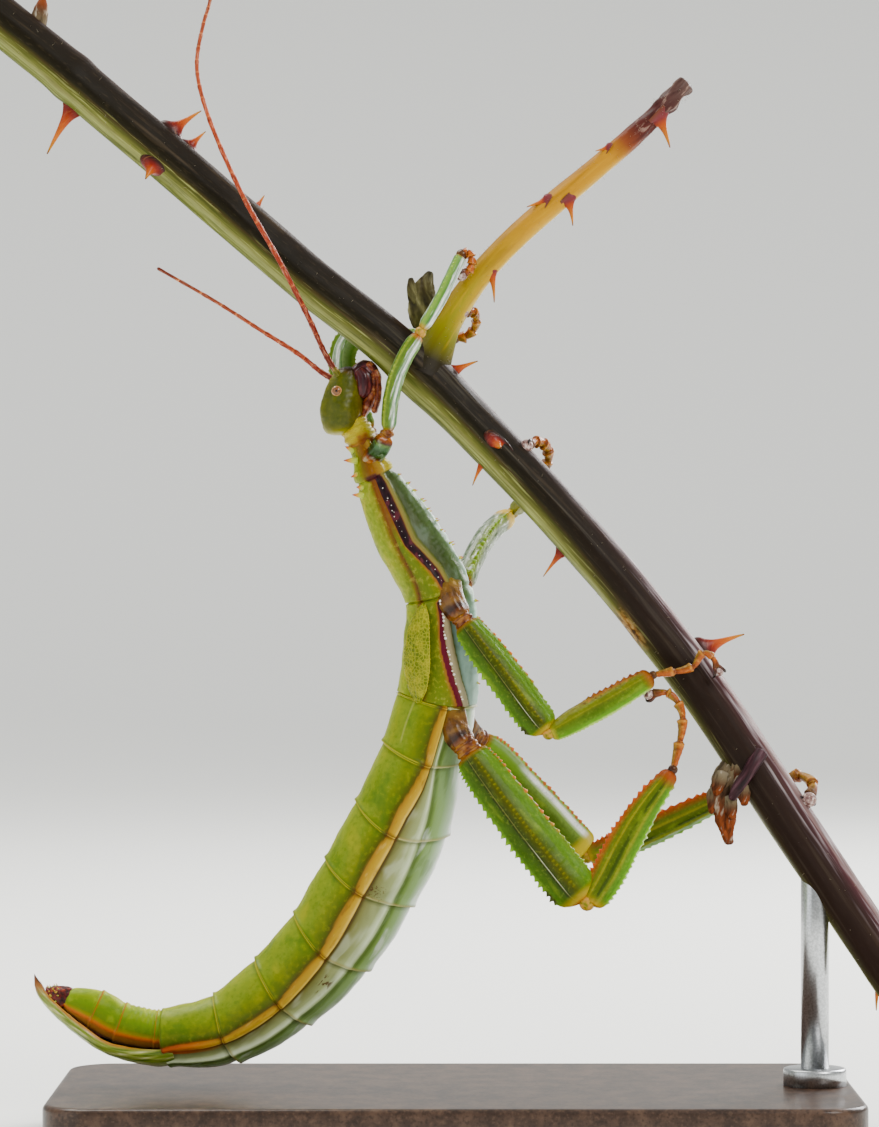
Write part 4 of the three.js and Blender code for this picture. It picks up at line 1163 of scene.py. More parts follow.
def folded_relief(base: Array, turn: Array, along: Array) -> Array:
    """Rings of soft folds."""
    return 0.12 * np.sin(2 * math.pi * along / 1.1 + turn / 60) + 0.05 * ripple(along, turn / 20, 0.8, 33)


def ball(centre: Point, radius: float, facing: Array, rows: int = 32, columns: int = 48) -> Patch:
    """A ball with REACH counted from the pole that faces a way, 0 there and 1 behind."""
    axis = unit(facing)
    first = unit(np.cross(axis, [0.0, 0.0, 1.0]))
    second = np.cross(axis, first)
    lean = np.linspace(0.04, math.pi - 0.04, rows)[:, None, None]
    turn = np.linspace(0, 2 * math.pi, columns, endpoint=False)[None, :, None]
    rings = np.sin(lean) * (np.cos(turn) * second + np.sin(turn) * first)
    points = np.asarray(centre) + radius * (axis * np.cos(lean) + rings)
    return tube(points[:, ::-1], {REACH: (lean / math.pi)[..., 0] * 2 + 0 * turn[..., 0]})


def jointed(rail: Rail, joint: float, columns: int, pinch: float, seed: int) -> Patch:
    """A thin tube whose joints swell towards their far ends, with LENGTH along each joint."""
    length = rail.length
    count = max(1, round(length / joint))
    places, shares = domed(count * 9 + 1, length, 0.0, rail.sizes(np.array([float(rail.last)])).max() / 2)
    step = np.clip(places * count, 0, count - 1e-6)
    within = step - np.floor(step)
    draw = np.random.default_rng(seed).uniform(-1, 1, count + 1)
    turn = full_turn(columns)[None, :]
    shares = shares * (1 + pinch * (ease((within - 0.55) / 0.4) - ease((within - 0.95) / 0.05) * 1.3
                                    + 0.25 * draw[np.floor(step).astype(int)]))
    base = (places * rail.last)[:, None]
    along = rail.along(base)
    points = rail.surface(base, turn, shares[:, None])
    return tube(points, {REACH: places[:, None], LENGTH: within[:, None],
                         ALONG: along, ACROSS: turn * 0.008})


def feeler_rail(name: str) -> Rail:
    """The line and widths of a feeler."""
    line = FEELERS[name]
    widths = np.linspace(*FEELER_WIDTHS, len(line))
    widths[0] *= 1.25
    return Rail(tuple((*point, width, width) for point, width in zip(line, widths)), SIDEWAYS)


def wing_pad_patch(sign: int, rows: int = 90, columns: int = 56) -> Patch:
    """A short pad: thin, its veins raised, its two panels parted by a ridge."""
    stations = tuple((x, sign * y, z, depth, WING_THICKNESS) for x, y, z, depth in WING_PAD)
    rail = Rail(stations, (WING_LEAN[0], -sign * WING_LEAN[1], 0.0))

    def veins(base: Array, turn: Array, along: Array) -> Array:
        """A ridge, ribs lengthwise and a fine net."""
        across = np.cos(np.radians(turn)) * rail.sizes(base)[..., 0] / 2
        ridge = 0.16 * bell(across + 0.25, 0.16)
        net = 0.05 * np.cos(along * 2 * math.pi / 0.55) * np.cos(across * 2 * math.pi / 0.55)
        ribs = sum(0.07 * bell(across - place, 0.09) for place in (-1.5, -0.9, 0.6, 1.2, 1.8))
        return ridge + net + ribs + 0.03 * ripple(along, across, 0.8, 41)

    return plain_tube(rail, rows, columns, 2.6, 2.4, relief=veins)


# ---------------------------------------- thorns and grains of the skin

# Short body spines, green at the root, orange at the tip.
SPINE_SHELL = Finish("body spines, orange tipped", (
    coat(REACH, "0 94A826, .4 AEB43A, .62 C98A1E, .8 B8501A, 1 5A1A0A"),
), roughness=0.35, clear_coat=0.2)
# Tiny raised grains, white as enamel; their white also stands for glints, so it is partly painted highlight.
GRANULE_SHELL = Finish("granules, white with painted glints", (
    coat(REACH, "0 E7E1D2"),
), roughness=0.25, clear_coat=0.4, glow=0.1)
SPINE_RADIUS = 0.62
# The spines of the right side: root, then tip.
SPINES = numbers(
    "-14.4 .9 98.6 -15.7 1.2 99.2, -13.9 1.1 97.2 -15.9 1.5 97.2, -13.2 .9 95.5 -14.9 1.2 94.8, "
    "-12.9 1 93.3 -14.1 1.3 93.4, -12.9 1.2 92.2 -14.7 1.5 92.3")


def body_spines() -> Patch:
    """The paired spines of the neck shield and the shoulders, with small ones under the breast."""
    roots, tips, radii = [], [], []
    for spine in SPINES:
        for sign in SIDES.values():
            roots.append((spine[0], sign * spine[1], spine[2]))
            tips.append((spine[3], sign * spine[4], spine[5]))
            radii.append(SPINE_RADIUS)
    draw = np.random.default_rng(12)
    for length, (first, last), step in ((MESOTHORAX, (1.15, 2.75), 0.19), (METATHORAX, (3.15, 4.8), 0.24)):
        for place in np.arange(first, last, step):
            for turn in (-167, 167):
                station = place + draw.uniform(-0.03, 0.03)
                root = length.point(station, turn + draw.uniform(-5, 5), -0.1)
                out = length.point(station, turn, 1.0) - length.point(station, turn, 0.0)
                roots.append(root)
                tips.append(root + unit(out) * draw.uniform(0.55, 0.95) + np.array([0, 0, -0.15]))
                radii.append(0.22)
    return spikes(np.array(roots), np.array(tips), np.array(radii))


def flank_granules() -> Patch:
    """White grains, partly painted highlight: small stray ones in the thorax band, larger ones behind along
    its lower edge.
    """
    draw = np.random.default_rng(14)
    centres, sizes = [], []
    rows = ((MESOTHORAX, 1.1, 2.95, 0.45, 0.065, 0.7), (METATHORAX, 3.1, 4.9, 1.0, 0.21, 0.95))
    for length, first, last, across, size, chance in rows:
        for place in np.arange(first, last, 0.075):
            lines = length.lines(np.array([place]))[0]
            turn = lines[1] + across * (lines[2] - lines[1])
            for sign in SIDES.values():
                jitter = draw.uniform(-1, 1, 4)
                if abs(jitter[3]) > chance:
                    continue
                spot = length.point(place + 0.03 * jitter[0], sign * (turn + 2.0 * jitter[1]), 0.03)
                centres.append(spot)
                sizes.append(size * (1 + 0.45 * jitter[2]))
    return beads(np.array(centres), np.array(sizes))


# ---------------------------------------- legs

SHEEN = {"reliefs": (PORES, Relief(Grain(0.6, along=1.6, detail=2), 0.04)), "roughness": 0.42, "polish": 0.03,
         "clear_coat": 0.03, "glow": 0.1, "shine": 0.12}
MOTTLE = flecks(1.8, 3.5, "263A02", "8AA018", 0.3)
SPECKLE = flecks(0.45, 1, "263602", "8A9A2C", 0.2)
TOOTH_TIPS = coat(INSIDE, ".12 4E8A08 0, .4 6A9A10 .7, .75 A4C840 .85, 1 E0F0A8 .9")
ORANGE_TEETH = coat(INSIDE, ".08 B4460C 0, .3 B4460C .85, .75 D8742A .9, 1 F0C088 1",
                    Window(EDGE, -1, 0.3, 0.05), Window(REACH, -1, 0.62, 0.12))
LEG_ROOT = coat(REACH, "0 4A1C06 .95, .02 8A4A0C .9, .045 7A5A0E .6, .075 3E5A04 0")
KNEE = coat(REACH, ".92 6A7A08 0, .945 8A7A0A .7, .97 B49A1E .8, .985 A86A12 .9, 1 5A2A08 .95")

# Two olive and green bands, a faint beaded line between them and a pale hairline; saw-toothed keels.
FEMUR_GREEN = Finish("femur, banded green", (
    # The pale hairline (.637) is painted highlight on a ridge, and the dark stops either side of it painted
    # shade.
    coat(EDGE, "0 6E820C, .05 5C7806, .13 4E7402, .26 4C7002, .36 496404, .42 455505, .48 434705, "
         ".54 404305, .6 343D09, .627 273104, .637 686A2D, .646 454812, .66 1C2703, .69 314704, .8 3E5B09, "
         ".92 426609, 1 71991A"),
    MOTTLE,
    SPECKLE,
    # The groove catches the light near the knee.
    coat(EDGE, ".629 E3ECD2 0, .636 E3ECD2 .65, .643 E3ECD2 0", Window(REACH, 0.62, 0.88, 0.06)),
    coat(Beat(ALONG, 0.75, 0.25), "0 7E790B .6, .28 6F6907 .4, .45 585505 .15, .85 585505 .15, 1 7E790B .6",
         Window(EDGE, 0.465, 0.51, 0.014), Window(REACH, 0.06, 0.9, 0.03)),
    TOOTH_TIPS,
    ORANGE_TEETH,
    LEG_ROOT,
    # The last teeth before the knee are worn brown.
    coat(REACH, ".8 211004 0, .83 211004 .85, .9 2B1405 .85, .925 2B1405 0", Window(EDGE, 0.93, 1.1, 0.03)),
    KNEE,
), **SHEEN)
# The same on the far side, its upper edge white with painted highlight and its knee yellow.
FEMUR_FAR = Finish("far femur, white edged", (
    # The white along the upper edge (.09 to .15) is painted highlight; near the root it is painted over
    # green.
    coat(EDGE, "0 6E9A14, .05 94B454, .09 FFFFFF, .15 FFFFFF, .19 B4C890, .24 6E8A34, .34 566E1C, "
         ".42 46600C, .5 5A6A10, .56 B0BC88, .6 5E6E1C, .66 3A4E08, .7 8A9A5A, .74 34500A, .88 4E7A0C, "
         "1 84A82C"),
    MOTTLE,
    SPECKLE,
    coat(REACH, "0 5E8408 .95, .3 5E8408 .9, .42 5E8408 0", Window(EDGE, 0.06, 0.4, 0.04)),
    coat(INSIDE, ".08 B43A0C 0, .3 B43A0C .85, 1 E8884A 1", Window(EDGE, -1, 0.3, 0.05)),
    LEG_ROOT,
    coat(REACH, ".84 A89A10 0, .9 C0A808 .9, .97 D8C01C .95, 1 9A6A10 .9"),
), **SHEEN)
# Silvery white with rows of green dots, green edges and a yellow knee.
FEMUR_SPECKLED = Finish("femur, silver and dotted", (
    coat(EDGE, "0 7A8A10, .1 6E8414, .18 6E7E44, .3 8A9680, .42 76866A, .5 98A68E, .62 C8D2C8, .78 84A068, "
         ".88 4E7414, 1 7A9E28"),
    flecks(0.9, 1.6, "2A4210", "FFFFFF", 0.75),
    coat(Beat(ALONG, 0.95, 0.3), "0 1E3C06 .9, .2 26460A .7, .3 2E5A0A 0, .93 2E5A0A 0, 1 1E3C06 .9",
         Window(EDGE, 0.385, 0.415, 0.012)),
    coat(Beat(ALONG, 1.3, 0.3), "0 26460A .9, .24 26460A .7, .36 3A6412 0, .9 3A6412 0, 1 26460A .9",
         Window(EDGE, 0.67, 0.72, 0.015)),
    TOOTH_TIPS,
    LEG_ROOT,
    coat(REACH, ".8 C89C08 0, .87 D8AC0C .9, .96 E0BC20 .95, 1 A0700C .9"),
), **{**SHEEN, "roughness": 0.3, "clear_coat": 0.25})
# Slim front leg: an olive-yellow edge, a white groove of painted highlight and pale green beyond.
FEMUR_FORE = Finish("front femur, olive and white", (
    coat(EDGE, "0 7C9C40, .2 4A7420, .36 6A8A44, .46 84A060, .5 4E7A2E, .54 8AA474, .575 6A8A54, "
         ".6 A8BCA8, .635 F4F8F4, .67 C4D0BC, .72 7A9470, .77 5A7A34, .84 4E6A10, .93 4A6408, 1 7C9020"),
    # Fine white streaks over the groove are painted highlight.
    flecks(0.4, 9, "3A6A4A", "FFFFFF", 0.8, Window(EDGE, 0.44, 0.82, 0.05)),
    SPECKLE,
    coat(INSIDE, ".12 6A7A10 0, .5 7A8A18 .6, 1 A8AC48 .7"),
    LEG_ROOT,
    coat(REACH, ".9 8A5A10 0, .94 9A5A10 .7, .97 9A4810 .9, 1 5A1E06 .9"),
), **{**SHEEN, "roughness": 0.34, "clear_coat": 0.15})
# Orange saw edge, a yellow line, a dark groove and a green edge with a pale rim.
TIBIA_SHELL = Finish("tibia, green with an orange edge", (
    coat(EDGE, "0 A8400C, .07 9A480A, .15 7A560A, .24 5A660A, .31 626A0A, .345 7E7A10, .375 7E7A10, "
         ".40 525E08, .49 4A5A06, .535 2E3C04, .57 344404, .6 4E6008, .66 7A7E14, .74 4E7206, .88 4A7C08, "
         ".955 6A9C12, .975 D0DCA8, 1 A8C060"),
    MOTTLE,
    SPECKLE,
    coat(INSIDE, ".12 B43E0C 0, .35 B43E0C .85, .75 D8702A .9, 1 F0C090 1", Window(EDGE, -1, 0.3, 0.05)),
    coat(INSIDE, ".12 5C9A10 0, .4 7AB020 .8, 1 ECF6CC 1", Window(EDGE, 0.7, 2.0, 0.05)),
    coat(REACH, "0 6A300A .95, .03 A8860E .9, .07 7A760E .5, .11 4A5A06 0, .9 6A4A08 0, .955 8E380C .85, "
         ".98 8A3E0C 1, 1 4A1606 1"),
), **SHEEN)
# The middle tibia is plainer: olive green, brown and orange only at the far end of its upper edge.
TIBIA_MID = Finish("middle tibia, olive green", (
    coat(EDGE, "0 6E6A0A, .1 7A760C, .26 6A6E08, .4 5E6606, .46 6E7214, .49 566008, .58 4A6006, "
         ".75 507406, .9 5A9008, .96 A4C458, 1 D0E0A0"),
    MOTTLE,
    SPECKLE,
    coat(EDGE, "0 7A2A08 .95, .1 8A4208 .8, .24 7A5A08 0", Window(REACH, 0.5, 1.1, 0.12)),
    flecks(0.5, 1, "4A1A04", "A86A14", 0.7, Window(EDGE, -1, 0.26, 0.05), Window(REACH, 0.4, 1.1, 0.1)),
    coat(REACH, "0 6A4A0A .95, .04 A89A1E .85, .1 6A720A 0, .9 6A4A08 0, .96 8E480C .85, 1 4A1606 1"),
), **SHEEN)
# The front tibia has no orange edge; it is green and white, the white bands and streaks painted highlight.
TIBIA_FORE = Finish("front tibia, silky green", (
    # The white stops (.48 and .66) and the white flecks are painted highlight.
    coat(EDGE, "0 5E7E1C, .2 54742C, .38 7A9868, .48 F0F4F0, .56 7A967A, .66 E8F0E8, .78 4A7A2A, 1 7A9A3C"),
    flecks(0.45, 9, "2E5A22", "FFFFFF", 0.8, Window(EDGE, 0.2, 0.85, 0.05)),
    TOOTH_TIPS,
    coat(REACH, "0 8A4A0C .95, .04 B08A20 .8, .08 6E8E3A 0, .92 6E7A2A 0, .97 8A4A10 .9, 1 4A1A06 1"),
), **{**SHEEN, "roughness": 0.34, "clear_coat": 0.15})
# Amber-brown feet, dark in the joints.
TARSUS_SHELL = Finish("feet, amber brown", (
    coat(EDGE, "0 A85208, .35 984806, .55 864606, .75 7A5E0A, 1 94661A"),
    coat(LENGTH, "0 5A2404 .9, .08 6A2E04 .6, .2 984806 0, .72 A8600A 0, .86 C08428 .6, .93 6E3206 .7, "
         "1 4A1C04 .9"),
    flecks(0.6, 1, "4A1604", "C88A34", 0.5),
    coat(REACH, ".84 4A220A 0, .92 3E1C0A .7, 1 26120A .9"),
), reliefs=(PORES, Relief(Grain(0.4, detail=2), 0.06)), roughness=0.36, clear_coat=0.15, glow=0.12)
# Amber skin of the joints, dark in the folds.
JOINT_RING = Finish("joint rings, amber", (
    coat(Grain(1.2), ".37 4A1E06, .47 6E3A0A, .56 84500E, .68 9A6A1E"),
    coat(Beat(ALONG, 1.1), "0 1E0A04 .7, .14 6A340A 0, .86 6A340A 0, 1 1E0A04 .7"),
), reliefs=(Relief(Grain(0.5, detail=2), 0.05),), roughness=0.3, clear_coat=0.2, glow=0.1)
# Yellow skin of the knees.
KNEE_SKIN = Finish("knees, yellow", (
    coat(Grain(0.7), ".36 6A6A0C, .5 A0801A, .64 B8863A"),
), roughness=0.4, glow=0.1)
# Soft grey-pink pad between the claws.
PAD_SKIN = Finish("foot pads, grey pink", (
    coat(Grain(0.4), ".36 5A3A38, .5 8A6E68, .66 C8B4AC"),
), roughness=0.5, glow=0.2)
# Horn-dark hooks with amber roots.
CLAW_HORN = Finish("claws, dark horn", (
    coat(REACH, "0 6A2E04, .25 3A1604, .6 180904, 1 0E0504"),
), roughness=0.2, clear_coat=0.4)
# Tan joint domes, near black where they turn, orange brown beyond.
COXA_SHELL = Finish("hip joints, tan and black", (
    coat(REACH, "0 5A6010, .14 66540E, .3 704E10, .5 5E380C, .6 704C16, .68 3A1C08, .74 2A1206, "
         ".81 5E2E08, .9 7E500E, 1 4A2608"),
    flecks(1.5, 1, "1A0C04", "B8924A", 0.5),
), reliefs=(PORES, Relief(Grain(0.7), 0.08)), roughness=0.3, polish=0.06, clear_coat=0.25, glow=0.1)
# The front hips are dark green domes between orange-brown rings.
COXA_FORE = Finish("front hip joints, green and brown", (
    coat(REACH, "0 7A480C, .16 8E560E, .26 6A2E08, .33 2A1A06, .38 24400E, .5 1E3A10, .6 3A5E34, "
         ".68 4E6A2A, .74 3A1606, .86 8A440A, .94 A0600E, 1 3A1606"),
    flecks(1.4, 1, "0C1E04", "A0B494", 0.35),
), reliefs=(PORES, Relief(Grain(0.7), 0.08)), roughness=0.28, polish=0.06, clear_coat=0.3, glow=0.1)


@dataclass(frozen=True)
class Teeth:
    """A row of saw teeth along a keel: which one, where it runs, how many, how tall."""

    keel: float  # degrees, 0 on top and 180 below
    first: float
    last: float
    count: int
    height: float

    def push(self, share: Array, side: Array, seed: int) -> tuple[Array, Array]:
        """The teeth's height over the limb, in millimetres and as a share of the full height."""
        place = (share - self.first) / (self.last - self.first) * self.count
        inside = ease(place + 0.5) * ease(self.count + 0.5 - place)
        number = np.clip(np.floor(place).astype(int), 0, self.count)
        tall = 0.7 + 0.3 * np.random.default_rng(seed).uniform(-1, 1, self.count + 1)[number]
        step = place - np.floor(place)
        profile = np.where(step < 0.7, (step / 0.7) ** 1.4, 1 - ease((step - 0.7) / 0.3))
        height = profile * tall * inside * bell(side - self.keel, 9)
        return height * self.height, height


@dataclass(frozen=True)
class Limb:
    """One joint of a leg: a keeled tube with its teeth."""

    line: tuple[Point, ...]
    size: tuple[float, float, float, float]  # depth at the root, middle and end, then thickness
    finish: Finish
    teeth: tuple[Teeth, ...] = ()
    knee: float = 0.0  # how much the far end narrows
    seed: int = 50

    def rail(self, up: Array) -> Rail:
        """The middle line with its sizes."""
        root, middle, end, thickness = self.size
        stations = []
        for number, point in enumerate(self.line):
            s = number / (len(self.line) - 1)
            depth = root * (1 - s) * (1 - 2 * s) + middle * 4 * s * (1 - s) + end * s * (2 * s - 1)
            stations.append((*point, depth, min(thickness, depth)))
        return Rail(tuple(stations), tuple(up))

    def way(self) -> Array:
        """The straight way from root to end."""
        return unit(np.subtract(self.line[-1], self.line[0]))

    def patch(self, up: Array, rows: int, columns: int, start: float, end: float) -> Patch:
        """Makes the keeled tube.

        Args:
            up: The way its depth is measured.
            rows: Rows between the end domes.
            columns: Points round each.
            start: How long the first dome is.
            end: How long the last one is.

        Returns:
            The tube, with INSIDE telling how high each tooth stands.
        """
        rail = self.rail(up)
        places, shares = domed(rows, rail.length, start, end)
        turn = full_turn(columns, 0.28)[None, :]
        side = np.abs(turn)
        base = (places * rail.last)[:, None]
        share = places[:, None]
        along = rail.along(base)
        scale = np.minimum(rail.sizes(base)[..., 0] / 4.5, 1.0)
        push = 0.16 * (bell(side, 10) + bell(side - 180, 10)) - 0.12 * bell(side - 42, 14)
        push = push + 0.10 * bell(side - 88, 13)
        push = push - 0.16 * bell(side - 116, 3.5) - 0.08 * bell(side - 68, 4) + 0.07 * bell(side - 122, 3)
        push = push + 0.05 * ripple(along, turn / 14, 1.6, self.seed)
        push = scale * (push + 0.02 * ripple(along, turn / 14, 0.5, 51))
        tooth = np.zeros((len(places), columns))
        for row in self.teeth:
            high, cover = row.push(share, side, self.seed + 3)
            push, tooth = push + high, tooth + cover
        push = push + 0.10 * bell(share - 0.955, 0.02) * (self.knee > 0) * (1 + bell(side - 90, 40))
        push = push - 0.12 * bell(share - 0.045, 0.012) * scale
        narrow = 1 - self.knee * np.clip((share - 0.88) / 0.12, 0, None) ** 2
        section = shares[:, None] * narrow * outline(LIMB_OUTLINE, turn)
        arc = rail.arc(base)
        points = rail.surface(base, turn, section, push * np.sqrt(shares)[:, None])
        return tube(points, {ALONG: along, ACROSS: turn * arc, EDGE: side / 180, REACH: share, INSIDE: tooth})


FOOT_JOINTS = 5
CLAW_LENGTH = 1.5
CLAW_SPREAD = 0.55
KNEE_TAPER = 0.3


@dataclass(frozen=True)
class Leg:
    """A whole leg: hip, femur, tibia and foot."""

    name: str
    coxa: Limb
    femur: Limb
    tibia: Limb
    foot: tuple[Point, ...]
    foot_size: float

    @property
    def nodes(self) -> list[str]:
        """The CAD nodes it stands for."""
        return [f"leg_{self.name}_{part}" for part in ("coxa", "femur", "tibia", "tarsus")]

    @property
    def hinge(self) -> Array:
        """The way the knee's pin points."""
        return unit(np.cross(self.femur.way(), self.tibia.way()))

    def foot_rail(self) -> Rail:
        """The foot's middle line, slimmer at its tip."""
        widths = np.linspace(1, 0.85, len(self.foot)) * self.foot_size
        stations = tuple((*point, width, width * 0.95) for point, width in zip(self.foot, widths))
        return Rail(stations, tuple(-np.cross(self.hinge, self.tibia.way())))

    def foot_patch(self) -> Patch:
        """Five short joints with pads beneath."""
        rail = self.foot_rail()
        places, shares = domed(130, rail.length, 0.4, 0.5)
        turn = full_turn(26)[None, :]
        step = places * FOOT_JOINTS
        within = (step - np.floor(np.clip(step, 0, FOOT_JOINTS - 1e-6)))[:, None]
        swell = 0.58 + 0.46 * within - 0.40 * ease((within - 0.90) / 0.10)
        under = bell(np.abs(turn) - 180, 45) * 0.42 * within**3 * (1 - ease((within - 0.86) / 0.12))
        base = (places * rail.last)[:, None]
        along = rail.along(base)
        push = 0.03 * ripple(along, turn / 25, 0.5, 61)
        points = rail.surface(base, turn, shares[:, None] * (swell + under), push)
        return tube(points, {ALONG: along, ACROSS: turn * 0.01, EDGE: np.abs(turn) / 180,
                             REACH: places[:, None], LENGTH: within})

    @property
    def forward(self) -> Array:
        """The way on at the foot's end."""
        return unit(np.subtract(self.foot[-1], self.foot[-2]))

    def claws(self) -> list[Patch]:
        """The pair of hooked claws."""
        forward = self.forward
        across = unit(np.cross(forward, self.hinge))
        end, hooks = np.array(self.foot[-1]), []
        under = -np.array(self.foot_rail().up)
        under = unit(under - forward * (under @ forward))
        for sign in (-1, 1):
            root = end - forward * 0.3 + across * sign * self.foot_size * 0.2
            reach = unit(forward + across * sign * CLAW_SPREAD)
            bends = ((0.0, 0.0, 0.66), (0.45, -0.16, 0.56), (0.85, 0.02, 0.34), (1.0, 0.34, 0.1))
            stations = [(*(root + reach * CLAW_LENGTH * go + under * CLAW_LENGTH * drop), size, size)
                        for go, drop, size in bends]
            hooks.append(plain_tube(Rail(tuple(stations), tuple(across)), 18, 12, 0.0, 0.05))
        return hooks

    def rings(self) -> list[Patch]:
        """The ring between hip and femur, and the ankle."""
        hip = np.array([self.coxa.line[-1], self.femur.line[0]])
        ankle = np.array([self.tibia.line[-1], self.foot[0]]).mean(axis=0)
        wide = self.femur.size[0]
        collar = Rail(tuple((*(hip[0] + (hip[1] - hip[0]) * go), wide * long, wide * long * 0.86)
                            for go, long in ((-3.2, 0.72), (-1.0, 0.80), (1.0, 0.82), (3.0, 0.66))),
                      tuple(np.cross(self.hinge, self.femur.way())))
        return [plain_tube(collar, 40, 36, 0.5, 0.5, relief=folded_relief),
                ball(tuple(ankle), self.foot_size * 0.48, self.tibia.way(), 16, 24)]

    def knee(self) -> Patch:
        """The soft ball in the knee."""
        middle = np.array([self.femur.line[-1], self.tibia.line[0]]).mean(axis=0)
        return ball(tuple(middle), 0.45 + 0.2 * self.tibia.size[0], self.tibia.way(), 20, 28)

    def pad(self) -> Patch:
        """The soft pad between the claws."""
        end = np.array(self.foot[-1]) + self.forward * 0.5
        return ball(tuple(end), self.foot_size * 0.5, self.forward, 18, 24)

    def build(self, claws: Shell) -> None:
        """Makes the leg as one piece and adds its hooks to the claws."""
        skin = Shell(f"leg_{self.name}", "leg_shell", *self.nodes)
        femur_up = np.cross(self.hinge, self.femur.way())
        tibia_up = np.cross(self.hinge, self.tibia.way())
        big = self.femur.size[1] > 3
        skin.add(self.coxa.patch(femur_up, 44, 40, 0.6, 1.5), self.coxa.finish)
        skin.add(self.femur.patch(femur_up, 230 if big else 140, 56, 1.2, 2.2), self.femur.finish)
        skin.add(self.tibia.patch(tibia_up, 200 if big else 120, 48, 1.2, 0.8), self.tibia.finish)
        for ring in self.rings():
            skin.add(ring, JOINT_RING)
        skin.add(self.knee(), KNEE_SKIN)
        skin.add(self.foot_patch(), TARSUS_SHELL)
        skin.add(self.pad(), PAD_SKIN)
        for hook in self.claws():
            claws.add(hook, CLAW_HORN)
        skin.build()


@dataclass(frozen=True)
class Pair:
    """What both legs of a pair share; each size is a depth at root, middle and end, then a thickness."""

    seed: int
    coxa: tuple[float, ...]
    femur: tuple[float, ...]
    tibia: tuple[float, ...]
    tarsus: float
    finishes: tuple[Finish, Finish, Finish]
    femur_teeth: tuple[Teeth, ...]
    tibia_teeth: tuple[Teeth, ...]

    def leg(self, name: str, femur_finish: Finish | None, thicker: float, *lines: str) -> Leg:
        """Makes one leg.

        Args:
            name: Which pair and which side, as in fore_right.
            femur_finish: The femur's finish where it is not the pair's.
            thicker: What its foot's size is multiplied by.
            *lines: The middle lines of hip, femur, tibia and foot.

        Returns:
            The leg.
        """
        coxa, femur, tibia, foot = (numbers(line) for line in lines)
        hip, thigh, shin = self.finishes
        seed = self.seed + name.endswith("left")
        return Leg(name, Limb(coxa, self.coxa, hip, seed=seed),
                   Limb(femur, self.femur, femur_finish or thigh, self.femur_teeth, KNEE_TAPER, seed),
                   Limb(tibia, self.tibia, shin, self.tibia_teeth, seed=seed + 1),
                   foot, self.tarsus * thicker)


FORE = Pair(50, (3.4, 3.2, 2.8, 2.8), (2.5, 3.4, 3.2, 2.2), (2.0, 2.3, 2.1, 1.8), 1.2,
            (COXA_FORE, FEMUR_FORE, TIBIA_FORE),
            (Teeth(180, 0.10, 0.90, 16, 0.22), Teeth(0, 0.08, 0.90, 14, 0.16)),
            (Teeth(0, 0.1, 0.92, 12, 0.22), Teeth(180, 0.1, 0.92, 12, 0.15)))
MID = Pair(57, (3.6, 3.5, 2.9, 3.1), (3.5, 4.7, 4.2, 3.0), (2.2, 3.3, 2.6, 2.2), 1.3,
           (COXA_SHELL, FEMUR_GREEN, TIBIA_MID),
           (Teeth(180, 0.08, 0.90, 18, 0.55), Teeth(0, 0.06, 0.88, 16, 0.28)),
           (Teeth(0, 0.5, 0.94, 9, 0.34), Teeth(180, 0.08, 0.94, 22, 0.13)))
HIND = Pair(64, (3.9, 3.7, 3.2, 3.3), (4.4, 5.8, 6.2, 3.4), (3.4, 4.2, 2.2, 2.4), 1.5,
            (COXA_SHELL, FEMUR_GREEN, TIBIA_SHELL),
            (Teeth(180, 0.07, 0.92, 25, 0.70), Teeth(0, 0.05, 0.86, 22, 0.34)),
            (Teeth(0, 0.06, 0.95, 22, 0.48), Teeth(180, 0.06, 0.95, 20, 0.34)))
THICK = 1.45  # feet that are curled round the stem look this much thicker
